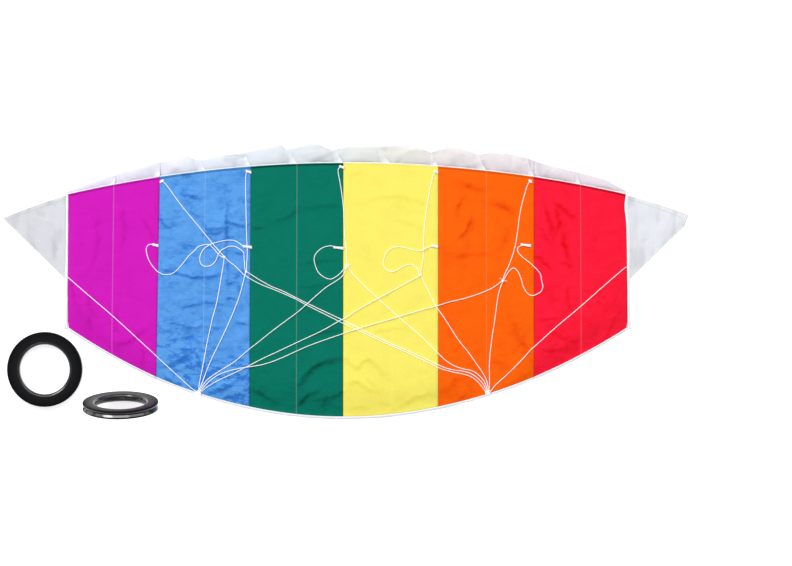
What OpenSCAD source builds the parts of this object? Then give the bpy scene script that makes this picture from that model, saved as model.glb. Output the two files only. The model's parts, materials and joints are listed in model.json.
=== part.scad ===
// Parafoil kite with twelve cells, a two-line bridle and two ring winders.
// It lies on its white upper skin, so its bridled lower skin faces up. +X is along the span,
// +Y is towards the leading edge and +Z is up. The origin is under the middle of the canopy.

/* [Canopy] */
// Width of one coloured panel, from main rib to main rib
panel_w = 177; // [165:1:185]
// Length of the lower skin from leading to trailing edge at the middle
chord = 482; // [460:1:500]
// How far the leading edge lies back at the side ribs
le_sweep = 59; // [50:1:70]
// How far the trailing edge lies forward at the side ribs
te_sweep = 169; // [155:1:180]
// How far the upper skin's nose stands out in front of the lower skin
nose = 34; // [25:1:40]
// Gap between the two skins as the kite lies
loft = 7; // [6:0.5:9]
// Thickness of a skin with its seam allowances
cloth_t = 1; // [0.8:0.1:1.2]
// Width of the trailing edge hem
hem_w = 5; // [4:0.5:6]
// Width of the leading edge tape
le_tape_w = 4; // [3:0.5:5]

/* [Wing tips] */
// Length of a wing tip past the side rib
tip_len = 118; // [100:1:130]
// Width of a wing tip where it is sewn to the side rib
tip_root = 160; // [140:1:165]
// Thickness of a wing tip with its hems
tip_t = 1.5; // [1:0.1:2]

/* [Bridle] */
// Diameter of a bridle line
line_d = 1.4; // [1.4:0.1:1.8]
// Radius of a rib knot
knot_r = 2.8; // [2.6:0.1:2.8]
// Half the width of a tow knot
tow_knot_r = 6; // [5.6:0.1:6.2]
// Half the height of a tow knot
tow_knot_h = 3.4; // [3.2:0.1:3.4]
// Width of a webbing loop
tab_w = 6; // [5:0.5:7]
// Thickness of a webbing loop
tab_t = 2; // [1.8:0.1:2.2]

/* [Ring winders] */
// Outer diameter of a ring
ring_od = 142; // [130:1:142]
// Diameter of the hole that the hand goes through
ring_hole = 94; // [86:1:96]
// Height of a ring, over both flanges
ring_h = 15; // [14:0.5:16]
// Depth of the shallow groove that the flying line is wound in
groove = 3; // [2:0.5:5]
// Width of the groove at the rim
groove_w = 9; // [8:0.2:9]
// Radius of the rounded outer edges
ring_round = 2; // [1.5:0.1:2.4]
// Radius of the rounded edges of the hand hole
bore_round = 5.8; // [2:0.1:6]
// Angle between the standing ring's axis and the vertical
ring_lean = 76; // [70:1:90]

/* [Hidden] */

half_span = 3 * panel_w;
top = 2 * cloth_t + loft;
depth = nose + chord + hem_w;
le_y = depth / 2 - nose;
te_y = -depth / 2 + hem_w;
seam_t = 1;
side_t = 1;
// How far a rib stops short of the trailing edge hem
rib_clear = 0.05;
fold_gap = 1;
fold_x = 2 * panel_w + fold_gap / 2;
edge_steps = 6;
panel_colors = ["magenta", "cornflowerblue", "seagreen", "gold", "darkorange", "crimson"];
cloth_white = "whitesmoke";
line_white = "ivory";

// Bridle points are [across, along, height of the line's centre above the lower skin]. They are given
// for this panel width, chord and line diameter, and scaled to the kite's own. The tails' heights are
// given for a canopy this thick.
route_panel_w = 177;
route_chord = 482;
route_line_d = 1.8;
route_top = 9;
// How far a line's cut ends stay from the fold between the middle of the canopy and its outer panel
fold_clear = 2.5;

rib_knot_at = [[-231, 48, 3], [-189, 20, 3], [2, 30, 3], [141, 14, 3], [297, 3, 3]];
tow_knot_at = [[-279, -209, 3.6], [269, -209, 3.6]];

lead_leg_1 = [[-347, 191, 1], [-339, 183, 1], [-313, 147, 1], [-284, 112, 1], [-254, 75, 1],
    [-241, 60, 1.2], [-232, 50, 2.6]];
mid_leg_1 = [[-364, 70, 1.2], [-372, 72, 1], [-378, 66, 1], [-378, 57, 1], [-375, 46, 1],
    [-369, 34, 1], [-358, 21, 1], [-351, 17, 1], [-347, 15, 1], [-334, 15, 1], [-324, 20, 1],
    [-314, 30, 1], [-305, 41, 1], [-297, 51, 1], [-288, 59, 1], [-280, 67, 1], [-270, 71, 1],
    [-259, 71, 1], [-249, 62, 1], [-242, 53, 1.2], [-233, 47, 2.6]];
lead_leg_2 = [[-187, 209, 1], [-190, 201, 1], [-190, 164, 1], [-189, 118, 1], [-188, 80, 1.6],
    [-187, 66, 3.6], [-187, 52, 1.6], [-188, 35, 1.2], [-188, 22, 2.6]];
mid_leg_2 = [[-194, 68, 1.2], [-201, 73, 1], [-209, 78, 1], [-219, 80, 1], [-231, 79, 1],
    [-244, 76, 1.8], [-254, 73, 3.2], [-262, 69, 3.2], [-271, 61, 1.6], [-276, 51, 1],
    [-277, 42, 1], [-274, 34, 1], [-266, 30, 1], [-256, 32, 1], [-248, 39, 1.6], [-243, 50, 3.3],
    [-238, 59, 3.3], [-231, 64, 1.8], [-222, 68, 1], [-211, 68, 1], [-201, 63, 1], [-194, 56, 1],
    [-193, 44, 1], [-192, 33, 1.2], [-191, 21, 2.6]];
lead_leg_3 = [[-11, 218, 1], [-15, 211, 1], [-10, 182, 1], [-5, 143, 1], [-3, 97, 1], [1, 61, 1],
    [2, 42, 1.2], [2, 32, 2.6]];
mid_leg_3 = [[-21, 66, 1.2], [-27, 69, 1], [-41, 67, 1], [-53, 59, 1], [-60, 48, 1], [-59, 35, 1],
    [-53, 20, 1], [-42, 10, 1], [-30, 6, 1], [-20, 10, 1], [-10, 18, 1.2], [0, 30, 2.6]];
lead_leg_4 = [[169, 209, 1], [165, 201, 1], [159, 175, 1], [153, 139, 1], [148, 95, 1], [147, 62, 1],
    [146, 42, 1], [143, 27, 1.2], [142, 16, 2.6]];
mid_leg_4 = [[163, 68, 1.2], [155, 66, 2], [147, 62, 3.2], [137, 59, 2], [125, 62, 1], [114, 65, 1],
    [102, 67, 1], [91, 66, 1], [80, 60, 1], [73, 48, 1], [71, 34, 1], [77, 24, 1], [89, 20, 1],
    [101, 26, 1], [113, 32, 1], [124, 34, 1], [134, 27, 1.2], [139, 15, 2.6]];
lead_leg_5 = [[349, 191, 1], [344, 184, 1], [335, 154, 1], [329, 126, 1], [325, 95, 1], [320, 66, 1],
    [310, 35, 1], [302, 18, 1.2], [297, 5, 2.6]];
mid_leg_5 = [[334, 70, 1.2], [326, 66, 1], [326, 58, 1], [332, 50, 1], [342, 42, 1], [351, 35, 1],
    [358, 28, 1], [364, 22, 1], [369, 14, 1], [371, 2, 1], [373, -8, 1], [369, -18, 1],
    [358, -24, 1], [351, -25, 1], [343, -20, 1], [336, -8, 1], [332, 6, 1], [326, 20, 1],
    [318, 27, 1], [310, 22, 1.2], [303, 12, 1.4], [299, 4, 2.6]];

leader_1_l = [[-231, 46, 2.6], [-232, 36, 1.2], [-236, 12, 1], [-244, -34, 1], [-254, -73, 1],
    [-262, -109, 1], [-271, -157, 1], [-277, -187, 1.2], [-279, -204, 2.2]];
leader_2_l = [[-190, 18, 2.8], [-193, 8, 3.4], [-197, -9, 1.6], [-205, -35, 1], [-220, -72, 1],
    [-237, -109, 1], [-257, -150, 1], [-272, -189, 2.4], [-278, -204, 5]];
leader_3_l = [[1, 28, 2.6], [-6, 13, 1.2], [-18, 3, 1], [-37, -9, 1], [-55, -24, 1.8], [-75, -42, 3.2],
    [-95, -59, 1.8], [-133, -87, 1], [-167, -114, 1], [-185, -128, 1], [-212, -151, 1],
    [-241, -169, 1], [-262, -184, 1], [-273, -198, 1.4], [-276, -205, 2.2]];
leader_4_l = [[140, 12, 2.6], [121, 2, 1.2], [99, -10, 1.6], [63, -29, 3.2], [38, -43, 1.8],
    [16, -56, 1.8], [3, -65, 3], [-9, -71, 3.2], [-21, -78, 3], [-46, -92, 1.4], [-95, -115, 1],
    [-131, -132, 1], [-159, -145, 1], [-184, -158, 1], [-212, -172, 1], [-244, -187, 1],
    [-265, -200, 1.4], [-274, -208, 2.2]];
leader_5_l = [[295, 2, 2.6], [280, -9, 1.2], [262, -18, 1], [227, -30, 1], [197, -37, 1.8],
    [171, -45, 3.2], [144, -52, 1.6], [121, -59, 1.8], [99, -65, 3.2], [74, -73, 1.6],
    [42, -82, 2.6], [22, -88, 3.3], [4, -94, 1.8], [-37, -108, 1], [-70, -120, 1], [-95, -131, 1],
    [-131, -147, 1], [-159, -156, 1.8], [-183, -160, 3.2], [-201, -163, 2.6], [-222, -168, 1.2],
    [-241, -175, 1], [-257, -186, 1.2], [-268, -197, 2.6], [-275, -206, 5]];
leader_1_r = [[-229, 47, 2.6], [-222, 40, 1.2], [-208, 29, 1], [-195, 16, 1], [-182, 7, 1],
    [-159, -5, 1], [-131, -16, 1], [-95, -32, 1], [-75, -43, 1], [-37, -62, 1], [-5, -78, 1],
    [14, -87, 1], [50, -104, 1], [83, -119, 1], [111, -131, 1], [147, -148, 1], [176, -162, 1],
    [198, -169, 1], [218, -173, 1], [235, -178, 1], [247, -186, 1], [257, -197, 1.4],
    [265, -208, 2.2]];
leader_2_r = [[-187, 19, 2.6], [-180, 15, 1.2], [-166, 6, 1], [-143, -7, 1], [-121, -16, 1],
    [-95, -29, 1], [-75, -39, 1], [-41, -55, 1], [-5, -72, 1], [14, -82, 1], [50, -99, 1],
    [83, -115, 1], [111, -127, 1], [147, -143, 1], [176, -157, 1], [198, -165, 1], [219, -168, 1],
    [237, -173, 1], [250, -182, 1], [260, -193, 2.4], [266, -205, 5]];
leader_3_r = [[4, 29, 2.6], [11, 18, 1.2], [32, -4, 1], [63, -33, 1], [99, -65, 1], [147, -107, 1],
    [175, -135, 1], [189, -148, 1], [205, -158, 1], [222, -164, 1], [240, -168, 1], [254, -178, 1],
    [263, -190, 1.4], [268, -205, 2.2]];
leader_4_r = [[143, 13, 2.6], [147, 2, 1.2], [155, -14, 1], [171, -45, 1], [188, -70, 1],
    [213, -109, 1], [230, -130, 1], [247, -154, 1], [260, -173, 1], [267, -188, 2.4],
    [270, -204, 5]];
leader_5_r = [[297, 1, 2.6], [293, -9, 1.2], [288, -28, 1], [282, -71, 1], [276, -111, 1],
    [272, -150, 1], [272, -178, 1], [272, -193, 1.4], [271, -205, 2.2]];
tip_line_l = [[-531, 13, -0.5], [-523, 6, 1], [-485, -27, 1], [-443, -63, 1], [-398, -104, 1],
    [-358, -141, 1], [-351, -148, 1], [-320, -176, 1], [-297, -197, 1.2], [-284, -207, 2.2]];
tip_line_r = [[531, 29, -0.5], [522, 22, 1], [485, -10, 1], [442, -48, 1], [398, -85, 1],
    [358, -121, 1], [351, -127, 1], [334, -146, 1], [305, -175, 1], [284, -194, 1.4],
    [274, -207, 2.2]];

// Tails are [out from the knot's middle, sideways, height above the floor]. The left one is a loop,
// and the right one is a loop and a single end.
tail_loop = [[6.4, 1.2, 11.6], [9.5, 1.5, 11], [15, 2.2, 7.5], [21, 2.6, 2.4], [27, 2.5, 1.1],
    [33, 2, 1], [36, 0, 1], [33, -2, 1], [27, -2.5, 1.1], [21, -2.6, 2.4], [15, -2.2, 7.5],
    [9.5, -1.5, 11], [6.4, -1.2, 11.6]];
tail_end = [[6.4, 4.2, 11.6], [9.5, 5.2, 11], [15, 7.2, 7.5], [21, 8.6, 2.4], [27, 10, 1.1],
    [33, 11.6, 1]];
tail_turn = [-112, -66];

// Where each webbing loop's free end and sewn end are across the canopy, and where it lies along it
lead_tab_x = [[-345, -353], [-190, -179], [-13, -3], [166, 175], [346, 353]];
lead_tab_y = [191, 209, 218, 209, 191];
mid_tab_x = [[-367, -355], [-196, -178], [-24, -4], [161, 175], [331, 351]];
mid_tab_y = [70, 67, 65, 68, 70];

// The gap between a wing tip and its side rib, and how far its root is set back from the leading edge
tip_gap = 0.5;
tip_set_back = 1;
// How far back a wing tip's far end lies, and the size of that blunt end
tip_drop = 42;
tip_blunt = [7, 21];

// Where the first ring's middle lies, and where the second ring touches the floor
ring_1_at = [-571, -165];
ring_2_at = [-422, -219];

module magenta_panel() { lower_panel(0); }
module blue_panel() { lower_panel(1); }
module green_panel() { lower_panel(2); }
module yellow_panel() { lower_panel(3); }
module orange_panel() { lower_panel(4); }
module red_panel() { lower_panel(5); }

function seam_x(i) = (i - 3) * panel_w;
function share(x) = x / half_span;
function front_y(x) = le_y - le_sweep * pow(share(x), 2);
function back_y(x) = te_y + te_sweep * pow(share(x), 2);
function nose_y(x) = front_y(x) + nose * (1 - pow(share(x), 6));
function steps(a, b, n) = [for (i = [0:n]) a + (b - a) * i / n];

// The part of the canopy between two places across the span that belongs to each moving body
left_span = [-half_span, -fold_x - fold_gap / 2];
centre_span = [-fold_x + fold_gap / 2, fold_x - fold_gap / 2];
right_span = [fold_x + fold_gap / 2, half_span];

// A flat piece of cloth between two places across the span, from the trailing edge forward
module lower_cloth(a, b) {
    xs = steps(a, b, edge_steps);
    front = [for (x = xs) [x, front_y(x)]];
    back = [for (i = [edge_steps:-1:0]) [xs[i], back_y(xs[i])]];
    linear_extrude(cloth_t) polygon(concat(front, back));
}

module lower_panel(i) {
    a = i == 5 ? right_span[0] : seam_x(i);
    b = i == 0 ? left_span[1] : seam_x(i + 1);
    color(panel_colors[i]) translate([0, 0, top - cloth_t]) lower_cloth(a, b);
}

module upper_skin(span, n) {
    xs = steps(span[0], span[1], n);
    front = [for (x = xs) [x, nose_y(x)]];
    back = [for (i = [n:-1:0]) [xs[i], back_y(xs[i])]];
    color(cloth_white) linear_extrude(cloth_t) polygon(concat(front, back));
}

module upper_skin_left() { upper_skin(left_span, edge_steps); }
module upper_skin_centre() { upper_skin(centre_span, 4 * edge_steps); }
module upper_skin_right() { upper_skin(right_span, edge_steps); }

// An upright rib from x to x + t. Its front slants forward from the lower skin to the upper skin.
module rib(x, t, crown) {
    y0 = max(back_y(x), back_y(x + t)) + rib_clear;
    y1 = min(front_y(x), front_y(x + t));
    y2 = min(nose_y(x), nose_y(x + t));
    outline = [[y0, cloth_t], [y2, cloth_t], [y1, crown], [y0, crown]];
    color(cloth_white) translate([x, 0, 0]) rotate([90, 0, 90]) linear_extrude(t) polygon(outline);
}

module main_rib(i) { rib(seam_x(i) - (i == 4 ? seam_t : 0), seam_t, top - cloth_t); }
module main_rib_1() { rib(-fold_x + fold_gap / 2, seam_t, top - cloth_t); }
module main_rib_2() { main_rib(2); }
module main_rib_3() { main_rib(3); }
module main_rib_4() { main_rib(4); }
module main_rib_5() { rib(fold_x - fold_gap / 2 - seam_t, seam_t, top - cloth_t); }
module side_rib_left() { rib(-half_span - side_t, side_t, top); }
module side_rib_right() { rib(half_span, side_t, top); }

module half_rib(i) { rib(seam_x(i) + panel_w / 2 - seam_t / 2, seam_t, top - cloth_t); }
module half_rib_left() { half_rib(0); }
module half_ribs_centre() { for (i = [1:4]) half_rib(i); }
module half_rib_right() { half_rib(5); }

// side is -1 on the left and 1 on the right
module wing_tip(side) {
    root_y = front_y(half_span) - tip_set_back;
    root_x = half_span + side_t + tip_gap;
    end_x = root_x + tip_len - tip_gap;
    outline = [[root_x, root_y], [end_x, root_y - tip_drop],
        [end_x - tip_blunt[0], root_y - tip_drop - tip_blunt[1]], [root_x, root_y - tip_root]];
    color(cloth_white) on_side(side) linear_extrude(tip_t) polygon(outline);
}

// Mirrors a piece to the left when side is -1
module on_side(side) {
    if (side < 0) mirror([1, 0, 0]) children();
    else children();
}

module wing_tip_left() { wing_tip(-1); }
module wing_tip_right() { wing_tip(1); }

module trailing_hem(span, n) {
    xs = steps(span[0], span[1], n);
    inner = [for (x = xs) [x, back_y(x)]];
    outer = [for (i = [n:-1:0]) [xs[i], back_y(xs[i]) - hem_w]];
    color(cloth_white)
        translate([0, 0, cloth_t]) linear_extrude(top - cloth_t) polygon(concat(inner, outer));
}

module trailing_hem_left() { trailing_hem(left_span, edge_steps); }
module trailing_hem_centre() { trailing_hem(centre_span, 4 * edge_steps); }
module trailing_hem_right() { trailing_hem(right_span, edge_steps); }

module leading_tape(span, n) {
    xs = steps(span[0], span[1], n);
    inner = [for (x = xs) [x, front_y(x)]];
    outer = [for (i = [n:-1:0]) [xs[i], front_y(xs[i]) + le_tape_w]];
    color(cloth_white)
        translate([0, 0, top - cloth_t]) linear_extrude(cloth_t) polygon(concat(inner, outer));
}

module leading_tape_left() { leading_tape(left_span, edge_steps); }
module leading_tape_centre() { leading_tape(centre_span, 4 * edge_steps); }
module leading_tape_right() { leading_tape(right_span, edge_steps); }

// A flat loop of webbing on the lower skin, tapered to its free end
module tab(free_x, sewn_x, y) {
    w = tab_w;
    outline = [[sewn_x, y - w / 2], [sewn_x, y + w / 2], [free_x, y + w / 3], [free_x, y - w / 3]];
    color(cloth_white) translate([0, 0, top]) linear_extrude(tab_t) polygon(outline);
}

module placed_tab(ends, y) { tab(ends[0] * route_k_x(), ends[1] * route_k_x(), y * route_k_y()); }

module leading_tabs() { for (i = [0:4]) placed_tab(lead_tab_x[i], lead_tab_y[i]); }
module middle_tabs() { for (i = [1:4]) placed_tab(mid_tab_x[i], mid_tab_y[i]); }
module middle_tab_left() { placed_tab(mid_tab_x[0], mid_tab_y[0]); }

function route_k_x() = panel_w / route_panel_w;
function route_k_y() = chord / route_chord;
function on_skin(p) = [p[0] * route_k_x(), p[1] * route_k_y(), top + p[2]];

// A smooth curve through four points, at t from 0 to 1 between the middle two
function curve_at(a, b, c, d, t) =
    0.5 * (2 * b + (c - a) * t
        + (2 * a - 5 * b + 4 * c - d) * t * t
        + (3 * b - a - 3 * c + d) * t * t * t);
function smooth(p, n) = concat(
    [for (i = [0:len(p) - 2]) for (k = [0:n - 1])
        curve_at(p[max(i - 1, 0)], p[i], p[i + 1], p[min(i + 2, len(p) - 1)], k / n)],
    [p[len(p) - 1]]);
function unit(v) = v / norm(v);

// A round tube with eight sides along a path that is never vertical
module tube(path, d) {
    sides = 8;
    n = len(path);
    heads = [for (i = [0:n - 1]) unit(path[min(i + 1, n - 1)] - path[max(i - 1, 0)])];
    across = [for (h = heads) unit(cross(h, [0, 0, 1]))];
    rings = [for (i = [0:n - 1]) for (s = [0:sides - 1])
        path[i] + d / 2 * (cos(45 * s) * across[i] + sin(45 * s) * cross(across[i], heads[i]))];
    walls = [for (i = [0:n - 2]) for (s = [0:sides - 1])
        [i * sides + s, i * sides + (s + 1) % sides,
            (i + 1) * sides + (s + 1) % sides, (i + 1) * sides + s]];
    first = [for (s = [sides - 1:-1:0]) s];
    last = [for (s = [0:sides - 1]) (n - 1) * sides + s];
    polyhedron(rings, concat([first], walls, [last]), convexity = 8);
}

module line(path) { color(line_white) tube(path, line_d); }

function lay(route) = smooth([for (p = route) on_skin([p[0], p[1], p[2] * line_d / route_line_d])], 2);
function outboard(path, side) = [for (p = path) if (p[0] * side > fold_x + fold_clear) p];
function inboard(path, side) = [for (p = path) if (p[0] * side < fold_x - fold_clear) p];
function before(path, i) = [for (k = [0:i - 1]) path[k]];
function after(path, i) = [for (k = [i:len(path) - 1]) path[k]];
// The middle leg at the right leaves the centre, swings over the outer panel and comes back
mid_leg_5_turn = 20;

module bridle_1() {
    line(lay(lead_leg_1));
    line(inboard(lay(mid_leg_1), -1));
}
module bridle_1_loop() { line(outboard(lay(mid_leg_1), -1)); }
module bridle_2() {
    line(lay(lead_leg_2));
    line(lay(mid_leg_2));
}
module bridle_3() {
    line(lay(lead_leg_3));
    line(lay(mid_leg_3));
}
module bridle_4() {
    line(lay(lead_leg_4));
    line(lay(mid_leg_4));
}
module bridle_5() {
    line(lay(lead_leg_5));
    line(inboard(before(lay(mid_leg_5), mid_leg_5_turn), 1));
    line(inboard(after(lay(mid_leg_5), mid_leg_5_turn), 1));
}
module bridle_5_loop() { line(outboard(lay(mid_leg_5), 1)); }

module leader_1_left() { line(lay(leader_1_l)); }
module leader_2_left() { line(lay(leader_2_l)); }
module leader_3_left() { line(lay(leader_3_l)); }
module leader_4_left() { line(lay(leader_4_l)); }
module leader_5_left() { line(lay(leader_5_l)); }
module leader_1_right() { line(lay(leader_1_r)); }
module leader_2_right() { line(lay(leader_2_r)); }
module leader_3_right() { line(lay(leader_3_r)); }
module leader_4_right() { line(lay(leader_4_r)); }
module leader_5_right() { line(lay(leader_5_r)); }

module tip_line_left_outer() { line(outboard(lay(tip_line_l), -1)); }
module tip_line_left_inner() { line(inboard(lay(tip_line_l), -1)); }
module tip_line_right_inner() { line(inboard(lay(tip_line_r), 1)); }
module tip_line_right_outer() { line(outboard(lay(tip_line_r), 1)); }

module rib_knots() {
    color(line_white) for (p = rib_knot_at) translate(on_skin(p)) sphere(r = knot_r, $fn = 24);
}

// A tow knot is round from above and flatter from the side
module tow_knot(i) {
    half = [for (a = [-90:15:90]) [tow_knot_r * cos(a), tow_knot_h * sin(a)]];
    color(line_white) translate(on_skin(tow_knot_at[i])) rotate_extrude($fn = 32) polygon(half);
}
module tow_knot_left() { tow_knot(0); }
module tow_knot_right() { tow_knot(1); }

function tail_point(i, p) = [
    tow_knot_at[i][0] * route_k_x() + p[0] * cos(tail_turn[i]) - p[1] * sin(tail_turn[i]),
    tow_knot_at[i][1] * route_k_y() + p[0] * sin(tail_turn[i]) + p[1] * cos(tail_turn[i]),
    p[2] * top / route_top
];
module tail(i, route) { line(smooth([for (p = route) tail_point(i, p)], 2)); }
module tow_tail_left() { tail(0, tail_loop); }
module tow_tail_right() {
    tail(1, tail_loop);
    tail(1, tail_end);
}

// Half of a ring's cross-section, from its outer face up to the middle plane. [radius, height]
function ring_half() = let (
        r0 = ring_hole / 2, r1 = ring_od / 2, mid = ring_h / 2, b = bore_round, c = ring_round) concat(
    [for (a = [180:15:270]) [r0 + b + b * cos(a), b + b * sin(a)]],
    [for (a = [270:18:360]) [r1 - c + c * cos(a), c + c * sin(a)]],
    [[r1, mid - groove_w / 2], [r1 - groove, mid], [r0, mid]]);

module ring_lower() { color([0.08, 0.09, 0.1]) rotate_extrude($fn = 96) polygon(ring_half()); }
module ring_upper() { translate([0, 0, ring_h]) mirror([0, 0, 1]) ring_lower(); }

// Ring 1 lies flat. Ring 2 stands on the edge of its lower flange and leans back.
module flat_ring() { translate([ring_1_at[0], ring_1_at[1], 0]) children(); }
module standing_ring() {
    edge = ring_od / 2 - ring_round;
    translate([ring_2_at[0], ring_2_at[1], ring_round]) rotate([-ring_lean, 0, 0])
        translate([0, -edge, -ring_round]) children();
}
module ring_1_upper() { flat_ring() ring_upper(); }
module ring_1_lower() { flat_ring() ring_lower(); }
module ring_2_upper() { standing_ring() ring_upper(); }
module ring_2_lower() { standing_ring() ring_lower(); }

magenta_panel();
blue_panel();
green_panel();
yellow_panel();
orange_panel();
red_panel();
upper_skin_left();
upper_skin_centre();
upper_skin_right();
side_rib_left();
main_rib_1();
main_rib_2();
main_rib_3();
main_rib_4();
main_rib_5();
side_rib_right();
half_rib_left();
half_ribs_centre();
half_rib_right();
wing_tip_left();
wing_tip_right();
trailing_hem_left();
trailing_hem_centre();
trailing_hem_right();
leading_tape_left();
leading_tape_centre();
leading_tape_right();
leading_tabs();
middle_tabs();
middle_tab_left();
bridle_1();
bridle_1_loop();
bridle_2();
bridle_3();
bridle_4();
bridle_5();
bridle_5_loop();
leader_1_left();
leader_2_left();
leader_3_left();
leader_4_left();
leader_5_left();
leader_1_right();
leader_2_right();
leader_3_right();
leader_4_right();
leader_5_right();
tip_line_left_outer();
tip_line_left_inner();
tip_line_right_inner();
tip_line_right_outer();
rib_knots();
tow_knot_left();
tow_knot_right();
tow_tail_left();
tow_tail_right();
ring_1_upper();
ring_1_lower();
ring_2_upper();
ring_2_lower();
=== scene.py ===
"""Looks of the parafoil kite: limp coloured cloth, a white upper skin, bridle lines and ring winders.

Everything is in metres, in the frame of the CAD model: +X along the span, +Y towards the leading
edge and +Z up. Only the long lists of points are in millimetres. The kite lies on its white upper
skin, so that its bridled lower skin faces up.
"""

import json
import math

import bpy
import numpy as np
from mathutils import Matrix, Vector, kdtree


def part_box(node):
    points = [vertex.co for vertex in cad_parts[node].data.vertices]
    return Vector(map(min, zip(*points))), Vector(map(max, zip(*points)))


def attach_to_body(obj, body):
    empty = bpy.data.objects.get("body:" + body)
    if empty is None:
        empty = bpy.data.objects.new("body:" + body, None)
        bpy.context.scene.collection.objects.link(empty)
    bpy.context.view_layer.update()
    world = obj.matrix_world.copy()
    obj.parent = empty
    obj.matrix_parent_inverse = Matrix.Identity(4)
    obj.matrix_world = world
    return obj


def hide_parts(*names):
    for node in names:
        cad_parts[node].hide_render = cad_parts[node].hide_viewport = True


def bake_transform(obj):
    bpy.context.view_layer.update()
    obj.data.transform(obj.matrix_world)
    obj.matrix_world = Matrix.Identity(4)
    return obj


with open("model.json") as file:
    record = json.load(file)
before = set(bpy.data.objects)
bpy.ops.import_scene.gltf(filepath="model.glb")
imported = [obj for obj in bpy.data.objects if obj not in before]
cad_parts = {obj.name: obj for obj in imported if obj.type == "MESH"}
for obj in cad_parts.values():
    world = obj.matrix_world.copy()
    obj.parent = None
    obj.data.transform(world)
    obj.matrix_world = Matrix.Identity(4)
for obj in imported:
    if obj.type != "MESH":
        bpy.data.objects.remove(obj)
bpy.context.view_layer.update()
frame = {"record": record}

# ---------------------------------------------------------------- sizes, from the frame
green_low, green_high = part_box("green_panel")
PANEL_W = green_high.x - green_low.x
HALF_SPAN = 3 * PANEL_W
TOP = green_high.z
FRONT_MID = green_high.y
# The curves grow with the square of the span, and the magenta panel starts at two thirds of it
FRONT_SWEEP = (FRONT_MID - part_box("magenta_panel")[1].y) * 9 / 4
BACK_MID = green_low.y
BACK_SWEEP = (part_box("magenta_panel")[0].y - BACK_MID) * 9 / 4
MM = 0.001
LINE_D = 0.0014  # the bridle lines
YARN_D = 0.0005  # stitches and frayed ends
CLOTH = 0.0003  # thickness of the skins
RIB_CLOTH = 0.0002
TAPE_CLOTH = 0.0004
WEBBING_CLOTH = 0.0005
LOWEST = 0.0004  # how far over the floor the lowest cloth and tape lie
CELL = 0.0027  # spacing of a skin's mesh
FOLD_X = 0.3545  # where the outer panels fold over
TIP_HEM = 0.0075  # how far in from a wing tip's edge its hem is sewn
SEAM_GAP = 0.0001  # half the gap between the parts of a skin at a fold
TAPE_GAP = 0.0003  # the same between the parts of a tape
MOUNTS = {m["name"]: m for m in frame["record"]["mounts"]}


def in_metres(points, height=0):
    """Points listed in millimetres. One that has no height of its own gets the given one."""
    return [tuple(MM * v for v in (*point, height)[:3]) for point in points]


def ease(t):
    """0 below 0, 1 above 1 and smooth between."""
    t = np.clip(t, 0, 1)
    return t * t * (3 - 2 * t)


def front_y(x):
    """The leading edge of the coloured panels."""
    return FRONT_MID - FRONT_SWEEP * (x / HALF_SPAN) ** 2


def back_y(x):
    """The trailing edge."""
    return BACK_MID + BACK_SWEEP * (x / HALF_SPAN) ** 2


# ---------------------------------------------------------------- camera, floor and light
KEY_W = 1280.0
STRIP_W = 60.0
SIDE_STRIP_W = 24.0
STRIP_WIDTH = 0.9
REAR_W = 2.4
RING_2_TOP = (-0.422, -0.23, 0.14)
SURROUND = 0.45
FLOOR_GLOW = 0.55


def make_camera():
    """Looks straight down from a height, as the kite was laid out and photographed from above."""
    seen_w = 1.501
    centre = (0.0948, -0.0013)
    height = 6.0
    data = bpy.data.cameras.new("camera")
    data.sensor_width = 36
    data.lens = data.sensor_width * (height - TOP) / seen_w
    camera = bpy.data.objects.new("camera", data)
    camera.location = (*centre, height)
    bpy.context.scene.collection.objects.link(camera)
    bpy.context.scene.camera = camera
    bpy.context.scene.view_settings.view_transform = "Standard"


def make_area_light(name, start, end, width, power, target):
    """A rectangular light from start to end, facing the target."""
    start, end, target = Vector(start), Vector(end), Vector(target)
    middle = (start + end) / 2
    along = (end - start).normalized()
    up = (middle - target).normalized().cross(along).normalized()
    data = bpy.data.lights.new(name, "AREA")
    data.shape = "RECTANGLE"
    data.size, data.size_y = (end - start).length, width
    data.energy = power
    light = bpy.data.objects.new(name, data)
    light.matrix_world = Matrix((along, up, along.cross(up))).transposed().to_4x4()
    light.location = middle
    bpy.context.scene.collection.objects.link(light)


def toward(azimuth, elevation, distance):
    """A place seen from the standing ring: azimuth 0 is towards the leading edge, 90 to the right."""
    a, e = math.radians(azimuth), math.radians(elevation)
    direction = Vector((math.cos(e) * math.sin(a), math.cos(e) * math.cos(a), math.sin(e)))
    return Vector(RING_2_TOP) + distance * direction


def make_light():
    """A large soft key light from the upper left, an arch of strip lights and an even pale surround."""
    make_area_light("key", (-11.4, 7.8, 11.6), (-7.0, 12.2, 11.6), 6.0, KEY_W, (0, 0, 0))
    for name, first, last, power in (
        ("strip_left", (-56, 8), (-29, 44), SIDE_STRIP_W),
        ("strip_middle", (-34, 46), (34, 46), STRIP_W),
        ("strip_right", (29, 44), (56, 8), SIDE_STRIP_W),
    ):
        make_area_light(name, toward(*first, 5), toward(*last, 5), STRIP_WIDTH, power, RING_2_TOP)
    make_area_light("rear", (-0.78, -1.1, 1.8), (-0.22, -1.1, 1.8), 0.14, REAR_W, RING_2_TOP)
    world = bpy.data.worlds.new("surround")
    world.use_nodes = True
    world.node_tree.nodes["Background"].inputs[0].default_value = (1, 1, 1, 1)
    world.node_tree.nodes["Background"].inputs[1].default_value = SURROUND
    bpy.context.scene.world = world


# ---------------------------------------------------------------- materials
def rgb(*levels):
    """A colour given from 0 to 255, as the linear values that a shader takes."""
    shares = [level / 255 for level in levels]
    return tuple(((c + 0.055) / 1.055) ** 2.4 if c > 0.04 else c / 12.92 for c in shares) + (1,)


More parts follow.
